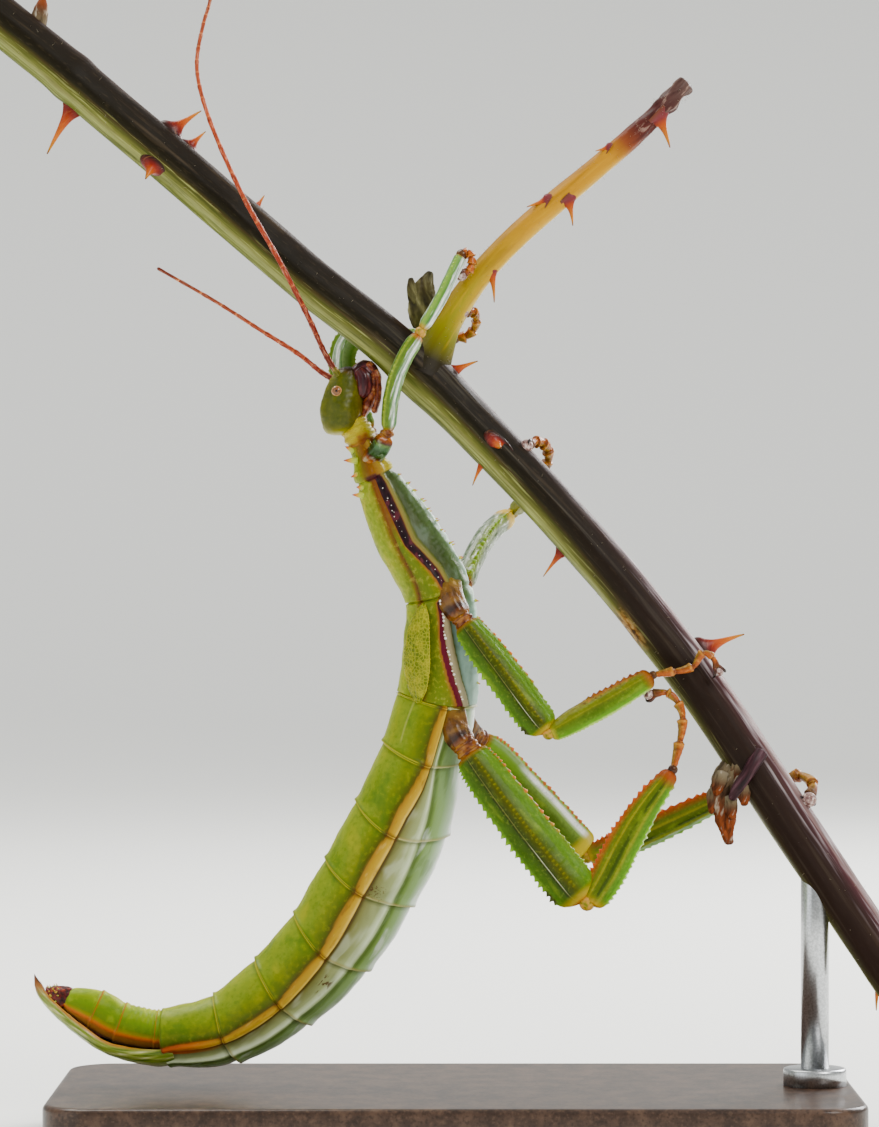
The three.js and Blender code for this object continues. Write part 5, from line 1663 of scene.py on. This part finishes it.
LEGS = (
    FORE.leg("fore_right", None, THICK,
        "-12.2 -.6 97.2, -10.6 -2.4 99, -9.7 -3.1 100.9",
        "-9.5 -3.2 101.2, -9.1 -4.5 105.4, -8.2 -5.2 109.1, -6.7 -5.5 112.4, -5 -5.4 115",
        "-4.8 -5.4 115.4, -2.1 -4.6 119.9, -.2 -3.6 123.9, .9 -2.9 126.2",
        "1 -2.8 126.5, 1.9 -2.8 126.6, 2.4 -2.9 125.5, 2.1 -2.9 124.3, 1.3 -2.7 123.8"),
    FORE.leg("fore_left", None, THICK,
        "-12.4 .6 97.4, -11.8 2.5 99.4, -12.2 3.2 101.1",
        "-12.3 3.3 101.4, -14.4 4.8 105.5, -16.1 5.6 110.1, -16 5.9 113.3, -14.2 5.8 116.4",
        "-13.9 5.8 116.6, -8.6 5.4 115.4, -3.6 4.6 114.7, -.2 3.5 114.8",
        ".1 3.4 114.9, 1.9 3.2 115.3, 3 2.5 116.7, 2.8 1.2 118.4, 1.5 0 118.4"),
    MID.leg("mid_right", None, 1.0,
        "-1.2 -1.6 80.6, -.5 -4 77.2, 1.1 -5 74.5",
        "1.3 -5.1 74.2, 3.7 -5.8 71.1, 7.2 -7 66.5, 10.7 -8 61.7, 13 -8.6 58.7",
        "13.3 -8.6 58.4, 16.6 -8.2 60.3, 22 -7 63.2, 27.9 -5.6 66.6",
        "28.1 -5.6 66.8, 31.1 -5.2 67.2, 33.7 -5 67.9, 35.2 -5 69.8, 36.5 -4.9 69.2, 37.2 -4.7 67.6"),
    MID.leg("mid_left", FEMUR_SPECKLED, THICK,
        "-1.4 1.8 80.4, 0 4 79, 1 6 79",
        "1.2 6.3 79.3, 2.8 9.5 83.4, 5.2 13 87.1, 8.4 16.1 89.8",
        "8.7 16.2 90.1, 10.4 12.2 92, 11.8 8.4 93.8, 12.7 5.6 95.4",
        "12.8 5.3 95.7, 13.5 4.5 97.7, 13.1 2.8 99.4, 11.8 1 100, 10.5 -.8 99.4"),
    HIND.leg("hind_right", None, 1.0,
        "-.6 -1.6 62.6, 0 -4.2 59, 1.8 -5.4 56.2",
        "2.1 -5.5 55.8, 4.5 -6.3 52.5, 9.4 -7.7 46, 14.3 -8.7 39.8, 18.2 -9.2 35",
        "18.9 -9.2 34.5, 21.3 -9 38.4, 23.5 -8.4 42.6, 26.5 -7.6 47.6, 30.7 -6.8 53.2",
        "30.8 -6.8 53.6, 31.8 -6.4 57.4, 32.2 -6 60.6, 31.5 -5.6 62.9, 29.9 -5.3 64.2, 27.9 -5.2 64"),
    HIND.leg("hind_left", FEMUR_FAR, THICK,
        "-.6 1.8 62.2, 1.4 4 59, 2.8 6 57.3",
        "3.3 6.6 57, 5.7 8.8 54.8, 9.2 11.6 50.7, 12.9 14 46.6, 16.4 15.6 42.6, 19.2 16.3 39.8",
        "19.6 16.3 39.4, 24.2 14.8 41.3, 29.4 12.4 43.8, 36.7 8.8 47.6, 40.6 6.8 49.5",
        "40.9 6.6 49.6, 44.3 6 49.9, 47.4 4.9 51.2, 49.6 3 52, 51.2 .6 50.9, 50.6 -1 49.2"),
)


# ---------------------------------------- perch

# Living bramble cane: near-black brown on the sunny side, olive green in the shade, with fine streaks.
CANE_BARK = Finish("bramble bark, brown and green", (
    # The pale top edge (0 to .025) is painted highlight; the paler green band (.75 to .8) is painted light,
    # the darker green beyond it painted shade.
    coat(EDGE, "0 B89A94, .025 6A4440, .06 3A2018, .1 2A1810, .17 1E140A, .3 171006, .46 151005, "
         ".55 1C1808, .59 3A3010, .63 4A4A18, .69 66682A, .75 84864A, .8 8A8E4E, .86 5E6420, .93 4E5818, "
         "1 6A7220"),
    flecks(1.4, 16, "0C0A06", "5A4A34", 0.3),
    flecks(0.4, 4, "0A0806", "5A4C34", 0.12),
    flecks(0.35, 20, "2E3A08", "B0B468", 0.5, Window(EDGE, 0.57, 1.1, 0.04)),
    flecks(0.8, 30, "0A0806", "6A6250", 0.25, Window(EDGE, -1, 0.6, 0.05), Window(REACH, 0.45, 2, 0.1)),
    # Towards the foot the bark turns purple; the silvery streaks along its top edge are painted highlight.
    coat(REACH, ".5 2E1814 0, .7 3E2024 .6, 1 42262C .7", Window(EDGE, -1, 0.16, 0.1)),
    coat(REACH, ".6 1C120C 0, .75 22140F .6, 1 281814 .7", Window(EDGE, 0.12, 0.72, 0.08)),
    coat(Grain(0.6, along=16), ".5 8A7C80 0, .6 A89A9E .35, .7 C8BEC0 .55", Window(EDGE, -1, 0.15, 0.08),
         Window(REACH, 0.55, 2.0, 0.1)),
    # A scabby patch of dead bark on the shaded side.
    coat(Grain(0.7, along=1.5, detail=5), ".38 3A1E0A .9, .47 7A4A1A .85, .56 A87A3E .8, .66 C8A468 .6",
         Window(EDGE, 0.64, 0.86, 0.06), Window(REACH, 0.733, 0.758, 0.008)),
), reliefs=(Relief(Grain(0.8, along=10.0), 0.05), Relief(Grain(0.3, along=2.0, detail=2), 0.015)),
    roughness=0.5, polish=0.04, shine=0.12)
# Younger side shoot: olive at the foot, honey yellow along its length, brown where it was cut.
SHOOT_BARK = Finish("side shoot bark, honey", (
    coat(REACH, "0 1A140C, .08 221C0A, .13 4E4A06, .21 6E6C06, .3 867C06, .4 9C7E04, .52 AC7C02, "
         ".78 B07A02, .83 7A3A1C, .87 4E201A, .93 42201E, 1 54403A"),
    # Darker along the upper edge and pale along the lower one: painted shade and painted highlight.
    coat(EDGE, "0 7A4A04 .6, .3 9A6404 .3, .55 C08804 0, .78 C89A1C .5, .9 DCBC58 .7, 1 F8ECB8 .8",
         Window(REACH, 0.25, 0.79, 0.06)),
    flecks(0.9, 9, "6A4404", "C89A18", 0.3, Window(REACH, 0.15, 0.8, 0.06)),
    flecks(0.9, 3, "2A1210", "B49484", 0.6, Window(REACH, 0.86, 2.0, 0.06)),
), reliefs=(Relief(Grain(0.6, along=9.0), 0.06),), roughness=0.5, shine=0.15)
# Cut wood with a pale pith.
CUT_WOOD = Finish("cut end, pale wood", (
    coat(Grain(0.5, detail=4), ".36 6A5A3E, .5 A0906A, .66 D0C6A4"),
), roughness=0.8)
# Prickles: bark-coloured foot, dark red, then orange to a brown tip.
THORN_BARK = Finish("prickles, red to amber", (
    coat(REACH, "0 24180C, .14 2E120C, .26 5A0E0A, .42 7E1E08, .58 A8420A, .78 BC640E, .92 A8700E, "
         "1 5A2A08"),
    flecks(0.5, 4, "2E0A06", "C07A3A", 0.2),
), reliefs=(Relief(Grain(0.4, along=5.0, detail=2), 0.05),), roughness=0.38, clear_coat=0.1)
# The side shoot's prickles: a broad plum foot, then amber.
SHOOT_THORN = Finish("shoot prickles, plum to amber", (
    coat(REACH, "0 5E3420, .17 6A2C30, .3 6E2424, .5 A0400C, .85 B87010, 1 5A2A08"),
))
# Dry grey-olive scale: a withered leaf foot.
DRY_SCALE = Finish("withered leaf foot, olive grey", (
    coat(Grain(1.4, along=4.0, detail=5), ".34 14100A, .45 38341A, .55 5E5A34, .68 98946A"),
    coat(REACH, "0 4E5208 .6, .4 4A4016 0, .8 2A180C .5, 1 140C06 .9"),
), reliefs=(Relief(Grain(0.7, along=4.0, detail=4), 0.15),), roughness=0.8)
# Grey and cream down with a dark-brown pointed tip.
DRY_BUD_SCALE = Finish("dry bud, grey and brown", (
    coat(REACH, "0 7E735E, .3 64563F, .5 543A26, .68 6A3214, .86 7E3C18, 1 5A2A12"),
    flecks(0.8, 3, "1A0E06", "BCB09A", 0.7),
), reliefs=(Relief(Grain(0.6, along=3.0, detail=4), 0.15),), roughness=0.85)
# Purple-brown twig, satin.
TWIG_BARK = Finish("bud twig, purple brown", (
    coat(Grain(0.8, 6, 4), ".36 180A0E, .5 341A20, .66 563840"),
), roughness=0.45)
# Silky pale hairs.
HAIR = Finish("plant hairs, silver", (coat(REACH, "0 8E846A"),), roughness=0.5)

CANE_RIDGES = 5
CANE = Rail(in_plane(
    "-67.3 162.1 6.8, -56.4 153.3 6.8, -47.9 146.1 6.8, -36.4 136.4 6.8, -22.1 124 6.8, -7.9 112.6 6.8, "
    "6.4 98.4 6.8, 20.7 83 6.8, 35 65 6.8, 49.3 43.7 6.8, 63.6 22.3 6.8"), (0.7, 0.0, 0.7))
SHOOT = Rail(in_plane(
    "-4.6 109.4 8.2, -2.9 112.9 5.4, -1 117 4, 3.6 123.7 3.6, 9.3 129.7 3.4, 15 134.7 3.3, 20.7 139.4 3.1, "
    "26.4 144.4 3, 33.3 151.3 3.2"), (-0.7, 0.0, 0.7))
CANE_WAY = (0.75, 0.0, -0.66)
SHOOT_WAY = (0.65, 0.0, 0.76)


@dataclass(frozen=True)
class Prickle:
    """A flattened hooked prickle: the middle of its root, its tip and its root's length."""

    root: Point
    tip: Point
    length: float
    width: float = 1.9

    def patch(self, stem: Point) -> Patch:
        """Stands the flared root square on the stem and bends the tip over."""
        root, reach = np.array(self.root), np.subtract(self.tip, self.root)
        lean = unit(np.array(stem)) * (unit(np.array(stem)) @ reach)
        stations = []
        for go, long, wide in ((-0.12, 1.35, 1.25), (0.05, 1.0, 1.0), (0.16, 0.62, 0.74), (0.30, 0.36, 0.54),
                               (0.52, 0.20, 0.36), (0.78, 0.11, 0.20), (1.0, 0.04, 0.08)):
            place = root + (reach - lean) * go + lean * max(go, 0.0) ** 1.35
            stations.append((*place, self.length * long, self.width * wide))
        return plain_tube(Rail(tuple(stations), stem), 40, 26, 0.0, 0.08)


def prickles(text: str) -> tuple[Prickle, ...]:
    """Prickles from rows of root, tip, root's length and, if not the usual one, width."""
    return tuple(Prickle(row[:3], row[3:6], *row[6:]) for row in numbers(text))


CANE_PRICKLES = prickles(
    "-54 0 148.2 -58.2 -.6 140.9 4.6, -40.4 0 144.2 -36.2 .2 147.2 4, -38 .4 142 -35.6 .6 144.3 3.2, "
    "-43 -2.2 139 -43.9 -4.2 137 4.2 2.6, -28.6 .6 133.2 -27.2 .8 135.2 2.6, "
    "-.6 0 109.6 3.3 -.4 111.4 3.6, 4.4 -.6 97.6 2.5 -1.2 93.6 2.8, 6 -3.2 99.5 6.5 -4.5 98.9 4.6 2, "
    "15.6 .2 84.6 12.6 .2 80.6 2.8, 35.6 .2 70 41.4 .4 72.4 4.6, 61 .2 24 60.2 .2 18.6 3.6")
SHOOT_PRICKLES = prickles(
    "4.9 -.5 124.3 5.6 -.9 119.7 3 1.8, 13 -.9 134 10.2 -1.2 133.3 2.6 1.6, "
    "16 -.7 134.3 16.8 -1.4 130.6 3 1.8, 28.9 -.3 146.2 30.7 -.6 141.8 3.8 2.2, "
    "21.8 -.8 141.6 20 -1 141.3 2 1.2")


@dataclass(frozen=True)
class Stem:
    """A woody stem with its prickles and hairs."""

    name: str
    slot: str
    node: str
    rail: Rail
    bark: Finish
    prickles: tuple[Prickle, ...]
    way: Point
    rows: int
    columns: int
    ridges: float
    hairs: int
    seed: int
    buds: tuple[Rail, ...] = ()
    thorns: Finish = THORN_BARK

    def relief(self, base: Array, turn: Array, along: Array) -> Array:
        """Ridges lengthwise, a swelling where a shoot leaves, and long shallow dents."""
        radius = self.rail.sizes(base)[..., 0] / 2
        push = self.ridges * radius * np.cos(np.radians(CANE_RIDGES * (turn - 90)))
        push = push + 0.09 * ripple(along / 6, turn / 18, 1.6, self.seed)
        push = push + 0.02 * ripple(along / 3, turn / 9, 1.0, 72)
        if self.ridges:
            push = push + 0.35 * bell(base - 5.25, 0.22) + 0.2 * bell(base - 1.2, 0.15)
        else:
            end = ease((base / self.rail.last - 0.85) / 0.08)
            push = push + end * (0.34 * ripple(along / 2, turn / 36, 1.0, 74) - 0.25)
        return push

    def stem_patch(self) -> Patch:
        """The stem, its colour coordinate slid round where the sunny side widens."""
        patch = plain_tube(self.rail, self.rows, self.columns, 0.35, 0.35, relief=self.relief)
        if self.ridges:
            patch.marks[EDGE] = patch.marks[EDGE] - 0.22 * ease((patch.marks[REACH] - 0.6) / 0.3)
        return patch

    def hair_patch(self) -> Patch:
        """Fine short hairs all over."""
        draw = np.random.default_rng(self.seed)
        at = draw.uniform(0.1, self.rail.last - 0.1, self.hairs)
        turn = draw.uniform(-180, 180, self.hairs)
        roots = self.rail.surface(at, turn, 1.0, -0.1)
        out = unit(self.rail.surface(at, turn, 1.0, 1.0) - roots)
        lean = draw.normal(0, 0.35, (self.hairs, 3))
        tips = roots + unit(out + lean) * draw.uniform(0.3, 0.75, self.hairs)[:, None]
        return spikes(roots, tips, 0.022, sides=3, waist=0.7)

    def build(self) -> None:
        """Makes the stem as one piece."""
        shell = Shell(self.name, self.slot, self.node)
        stem = self.stem_patch()
        pick = np.zeros(len(stem.faces), int)
        pick[-2 * self.columns:] = 1
        shell.add(stem, self.bark, CUT_WOOD, pick=pick)
        for prickle in self.prickles:
            shell.add(prickle.patch(self.way), self.thorns)
        for bud in self.buds:
            shell.add(plain_tube(bud, 30, 24, 0.4, 0.5, relief=crumpled(0.10, 88)), DRY_BUD_SCALE)
        shell.add(self.hair_patch(), HAIR)
        shell.build()


TOP_BUD = Rail(in_plane(
    "-59.9 158.2 2.6 2.2, -59.4 160.4 2.4 2, -59 162.2 1.7 1.4, -58.8 163.4 .6 .5"), UPRIGHT_X)
STEMS = (
    Stem("cane", "cane_bark", "perch_cane", CANE, CANE_BARK, CANE_PRICKLES, CANE_WAY,
         rows=520, columns=72, ridges=0.03, hairs=420, seed=71, buds=(TOP_BUD,)),
    Stem("side_shoot", "shoot_bark", "perch_shoot", SHOOT, SHOOT_BARK, SHOOT_PRICKLES, SHOOT_WAY,
         rows=260, columns=40, ridges=0.0, hairs=500, seed=73, thorns=SHOOT_THORN),
)

DRY_LEAF = Rail(numbers(
    "-3.9 1.2 116.2 4 3.2, -4.6 1.4 119 4.4 3.5, -4.4 1.5 121.6 3 2.4, -3.4 1.5 124.3 .8 .6"), UPRIGHT_X)
SECOND_TIP = Rail(numbers("-4.9 1 118.6 2.6 2, -6 1 121.2 1.6 1.2, -6.3 1.1 123.4 .5 .4"), UPRIGHT_X)
DRY_BUD = Rail(numbers(
    "42 0 54 3.2 2.6, 39.6 -.6 52.6 4.6 3.7, 38.4 -1 49.6 4 3.2, 38.6 -1.2 46 2.6 2.1, "
    "39.1 -1.2 42.4 .9 .7"), UPRIGHT_X)
BUD_TWIG = Rail(numbers(
    "43.4 -2.2 55.6 2.4 2.2, 42.6 -3.4 54.4 2 1.9, 41.2 -3.9 52.2 1.8 1.7, 39.9 -3.6 50.3 1.6 1.5, "
    "39.2 -3.2 48.9 1 .9"), UPRIGHT_X)
# The bud's loose scales: root, lean to the side and length.
BUD_SCALES = numbers(
    "40.6 -2 54.4 -1.6 3.2, 38.2 -2.4 53 -2.2 3.6, 37.2 -1.6 50.6 -1.4 3.8, 40.8 -2.2 51.4 .8 3.4, "
    "39.2 -2.6 49.6 .2 3.6")


def crumpled(size: float, seed: int) -> Bumps:
    """Relief of withered skin: lengthwise folds and dents of a size in millimetres."""
    def relief(base: Array, turn: Array, along: Array) -> Array:
        """Folds and dents."""
        folds = 0.5 * size * np.sin(np.radians(turn) * 7 + along * 0.5) ** 3
        dents = folds + size * ripple(along / 2, turn / 16, 1.2, seed)
        return dents + 0.4 * size * ripple(along, turn / 16, 0.6, seed + 1)
    return relief


def build_dry_pieces() -> None:
    """The withered leaf foot with its second tip, and the dry bud with its loose scales."""
    leaf = Shell("dry_leaf_base", "dry_plant", "perch_leaf_base")
    leaf.add(plain_tube(DRY_LEAF, 80, 44, 0.8, 0.4, relief=crumpled(0.22, 81)), DRY_SCALE)
    leaf.add(plain_tube(SECOND_TIP, 40, 24, 0.4, 0.3, relief=crumpled(0.12, 83)), DRY_SCALE)
    bud = Shell("dry_bud", "dry_plant", "perch_bud")
    bud.add(plain_tube(DRY_BUD, 110, 48, 0.8, 0.4, relief=crumpled(0.26, 85)), DRY_BUD_SCALE)
    for number, (x, y, z, lean, long) in enumerate(BUD_SCALES):
        scale = Rail(((x, y, z, 1.6, 0.8), (x + lean * 0.3, y - 0.3, z - long * 0.5, 1.9, 0.7),
                      (x + lean * 0.5, y + 0.1, z - long, 0.5, 0.3)), UPRIGHT_X)
        bud.add(plain_tube(scale, 30, 20, 0.3, 0.3, relief=crumpled(0.18, 90 + number)), DRY_BUD_SCALE)
    bud.add(plain_tube(BUD_TWIG, 60, 28, 0.3, 0.5, relief=crumpled(0.08, 97)), TWIG_BARK)
    leaf.build()
    bud.build()


# ---------------------------------------- stand

# Dark stained hardwood with a satin lacquer.
BASE_WOOD = Finish("stand wood, dark stain", (
    coat(Grain(3.0, detail=4), ".36 2C1E16, .5 3B2A20, .66 4C382B"),
    coat(Grain(0.6, detail=5), ".38 1E140E .5, .5 3B2A20 0, .64 5A4434 .35"),
), reliefs=(Relief(Grain(0.4), 0.02),), clear_coat=0.25)
# Brushed stainless steel.
STEEL = Finish("brushed stainless steel", (
    coat(Grain(0.3, detail=4), ".38 A9ABAD, .5 B9BBBD, .64 C8CACC"),
), reliefs=(Relief(Grain(0.15, detail=2), 0.004),), roughness=0.28, ior=1.5, shine=0.5, metallic=1.0)


@dataclass(frozen=True)
class Stand:
    """A plain slab with one short upright rod that holds the cane."""

    length: float = 114.0
    depth: float = 54.0
    thickness: float = 8.0
    corner: float = 7.0
    bevel: float = 0.8
    rod_radius: float = 2.0
    rod_x: float = 51.4
    rod_top: float = 42.0
    collar_radius: float = 4.5
    collar_height: float = 2.5

    def ring(self, inset: float, height: float, arc: int = 14) -> Array:
        """The slab's outline drawn in by an inset, at a height."""
        radius = self.corner - inset
        x, y = self.length / 2 - self.corner, self.depth / 2 - self.corner
        corners = ((x, y, 0), (-x, y, 90), (-x, -y, 180), (x, -y, 270))
        points = []
        for east, north, start in corners:
            for turn in np.radians(np.linspace(start, start + 90, arc)):
                points.append((east + radius * math.cos(turn), north + radius * math.sin(turn), height))
        return np.array(points)

    def base(self) -> None:
        """The slab, its edges rounded over."""
        quarter = np.radians(np.linspace(0, 90, 6))
        low = [(self.bevel * (1 - math.sin(t)), self.bevel * (1 - math.cos(t))) for t in quarter]
        high = [(inset, self.thickness - height) for inset, height in reversed(low)]
        rows = [(self.bevel + 0.25, 0.0), *low, *high, (self.bevel + 0.25, self.thickness)]
        patch = tube(np.array([self.ring(inset, height) for inset, height in rows]))
        single("stand_base_slab", "base_wood", "stand_base", patch, BASE_WOOD)

    def turned(self, name: str, node: str, profile: Rows) -> None:
        """A turned metal piece round the rod's axis from pairs of radius and height."""
        rows = [level_ring(radius, height, 64, self.rod_x) for radius, height in profile]
        single(name, "stand_steel", node, tube(np.array(rows)), STEEL)

    def build(self) -> None:
        """Makes the slab, the collar and the rod."""
        wide, rod, edge = self.collar_radius, self.rod_radius, 0.35
        low, top = self.thickness, self.thickness + self.collar_height
        self.base()
        self.turned("stand_collar_ring", "stand_collar", (
            (wide - edge, low), (wide, low + 0.02), (wide, top - edge), (wide - 0.1, top - 0.1),
            (wide - edge, top), (rod, top)))
        self.turned("stand_rod_bar", "stand_rod", (
            (rod, top - 0.5), (rod, self.rod_top - 0.3), (rod - 0.3, self.rod_top)))


# ---------------------------------------- the insect put together


def build_skin() -> None:
    """The head, neck and trunk as one skin, the six legs, and their claws."""
    nodes = ["head", "neck", "prothorax", "mesothorax", "metathorax"]
    nodes += [f"abdomen_{number:02d}" for number in range(1, 11)]
    skin = Shell("insect_skin", "abdomen_shell", *nodes)
    for length in (PROTHORAX, MESOTHORAX, METATHORAX):
        skin.add(length.patch(), THORAX_SHELL)
    skin.add(ABDOMEN.patch(), ABDOMEN_SHELL)
    skin.add(tail_rings(), TAIL_SHELL)
    skin.add(plain_tube(HEAD, 90, 72, 1.0, 0.8, relief=head_relief), HEAD_SHELL)
    skin.add(plain_tube(NECK, 60, 48, 0.8, 0.8, relief=folded_relief), JOINT_SKIN)
    for sign in (1, -1):
        skin.add(plain_tube(mirrored(BLADE, sign, UPRIGHT), 90, 24, 0.5, 0.5), BLADE_SHELL)
    skin.add(body_spines(), SPINE_SHELL)
    skin.add(flank_granules(), GRANULE_SHELL)
    claws = Shell("claws", "tarsus_shell")
    skin.build()
    for item in LEGS:
        item.build(claws)
    claws.build()


def build_plates() -> None:
    """The hard pieces that stay apart: mouthparts, keel plate and tail tip."""
    mouth = Shell("mouthparts_shell", "mouth_shell", "mouthparts")
    mouth.add(plain_tube(MOUTH, 60, 48, 0.6, 0.5, relief=uneven(0.10, 1.0, 16, 35)), MOUTH_SHELL)
    mouth.add(plain_tube(LIP, 60, 32, 0.4, 0.4, relief=lip_relief), PALP_SHELL)
    for sign in SIDES.values():
        mouth.add(plain_tube(mirrored(JAW, -sign, DORSAL), 40, 32, 0.4, 0.4, relief=jaw_relief), MOUTH_SHELL)
    mouth.build()
    single("keel_plate_boat", "keel_plate_shell", "keel_plate", keel_plate_patch(), KEEL_SHELL)
    tip = Shell("tail_tip_shell", "tail_shell", "tail_tip")
    tip.add(plain_tube(TAIL_TIP, 60, 40, 0.3, 0.4, relief=uneven(0.14, 0.7, 14, 37)), TIP_SHELL)
    draw = np.random.default_rng(38)
    at, turn = draw.uniform(1.2, 2.8, TIP_POINTS), draw.uniform(-150, 150, TIP_POINTS)
    roots = TAIL_TIP.surface(at, turn, 1.0, -0.1)
    ways = unit(TAIL_TIP.surface(at, turn, 1.0, 1.0) - roots + np.array([-0.6, 0, 0]))
    tips = roots + ways * draw.uniform(0.35, 0.7, TIP_POINTS)[:, None]
    tip.add(spikes(roots, tips, 0.13), SPINE_SHELL)
    tip.build()


def build_head_pairs() -> None:
    """Eyes, feelers, palps and wing pads, each side its own piece."""
    for side, sign in SIDES.items():
        eye = ball((EYE[0], sign * EYE[1], EYE[2]), EYE_RADIUS, np.array([-0.06, sign * 1.0, 0.03]))
        feeler = jointed(feeler_rail(side), FEELER_JOINT, 20, 0.16, 42)
        line = tuple((x, sign * y, z, PALP_WIDTH, PALP_WIDTH) for x, y, z in PALP)
        palp = jointed(Rail(line, SIDEWAYS), PALP_JOINT, 20, 0.18, 43)
        pad = wing_pad_patch(sign)
        single(f"eye_{side}_ball", "eye_surface", f"eye_{side}", eye, EYE_SHELL)
        single(f"feeler_{side}", "antenna_shell", f"antenna_{side}", feeler, FEELER_SHELL)
        single(f"palp_{side}_jointed", "palp_shell", f"palp_{side}", palp, PALP_SHELL)
        single(f"wing_pad_{side}_netted", "wing_leather", f"wing_pad_{side}", pad, WING_LEATHER)


# ---------------------------------------- studio


SUBJECT = (-0.0022, 0.0, 0.0825)  # the middle of the picture, in metres


@dataclass(frozen=True)
class Softbox:
    """A large square light: where it hangs, its size in metres and its power in watts."""

    name: str
    place: Point
    size: float
    power: float
    tint: tuple[float, float, float] = (1.0, 1.0, 1.0)
    aim: Point = SUBJECT

    def build(self) -> None:
        """Hangs the light and turns it to its aim."""
        light = bpy.data.lights.new(self.name, "AREA")
        light.shape, light.size, light.energy, light.color = "SQUARE", self.size, self.power, self.tint
        lamp = bpy.data.objects.new(self.name, light)
        lamp.location = self.place
        lamp.rotation_euler = (Vector(self.aim) - Vector(self.place)).to_track_quat("-Z", "Y").to_euler()
        bpy.context.scene.collection.objects.link(lamp)


@dataclass(frozen=True)
class Studio:
    """A plain pale floor that rises into a round backdrop, soft lights and the camera, in metres."""

    floor_radius: float = 0.8
    curve: float = 6.0
    sweep: float = 30.0  # degrees that the floor curves up
    distance: float = 0.6
    lens: float = 134.2
    sky: float = 0.65
    lights: tuple[Softbox, ...] = (
        Softbox("key", (0.45, -0.50, 0.62), 0.40, 6.3, (1.0, 0.98, 0.95)),
        Softbox("fill", (-0.60, -0.42, 0.25), 0.6, 1.6, (0.95, 0.98, 1.0)),
        Softbox("rim", (0.42, 0.46, 0.40), 0.35, 9.0),
        Softbox("top", (-0.25, 0.16, 0.70), 0.4, 5.5, (1.0, 1.0, 0.94)),
        Softbox("backdrop", (0.0, 1.8, 2.2), 2.5, 40.0, aim=(0.0, 3.2, 0.3)),
    )

    def backdrop(self) -> bpy.types.Object:
        """A wide shallow dish, flat in the middle, so that the light on it stays even."""
        bend = np.radians(np.linspace(0, self.sweep, 24))
        radii = [0.3, self.floor_radius, *(self.floor_radius + self.curve * np.sin(bend[1:]))]
        heights = [0.0, 0.0, *(self.curve * (1 - np.cos(bend[1:])))]
        columns = 128
        rings = [level_ring(radius, height, columns) for radius, height in zip(radii, heights)]
        patch = tube(np.array(rings))
        floor_faces = [face[::-1] for face in patch.faces[:-columns]]
        mesh = bpy.data.meshes.new("floor")
        mesh.from_pydata(patch.points[:-1].tolist(), [], floor_faces)
        mesh.polygons.foreach_set("use_smooth", np.full(len(mesh.polygons), True))
        # Matt pale paper.
        paper = Finish("studio paper, pale", (coat(ALONG, "0 F2F2EE"),), roughness=0.9)
        mesh.materials.append(paper.material())
        floor = bpy.data.objects.new("floor", mesh)
        bpy.context.scene.collection.objects.link(floor)
        return floor

    def build(self) -> None:
        """Makes the floor, the light and the camera."""
        self.backdrop()
        for light in self.lights:
            light.build()
        world = bpy.data.worlds.new("studio air")
        world.use_nodes = True
        background = world.node_tree.nodes["Background"]
        background.inputs["Color"].default_value = linear("F0F2F0")
        background.inputs["Strength"].default_value = self.sky
        bpy.context.scene.world = world
        lens = bpy.data.cameras.new("camera")
        lens.lens, lens.sensor_width, lens.sensor_fit = self.lens, 36.0, "AUTO"
        lens.clip_start, lens.clip_end = 0.01, 50.0
        camera = bpy.data.objects.new("camera", lens)
        camera.location = (SUBJECT[0], SUBJECT[1] - self.distance, SUBJECT[2])
        camera.rotation_euler = (math.pi / 2, 0.0, 0.0)
        bpy.context.scene.collection.objects.link(camera)
        bpy.context.scene.camera = camera


def main() -> None:
    """Builds everything."""
    logging.basicConfig(level=logging.INFO, format="%(message)s")
    build_skin()
    build_plates()
    build_head_pairs()
    for stem in STEMS:
        stem.build()
    build_dry_pieces()
    Stand().build()
    Studio().build()


if __name__ == "__main__":
    main()
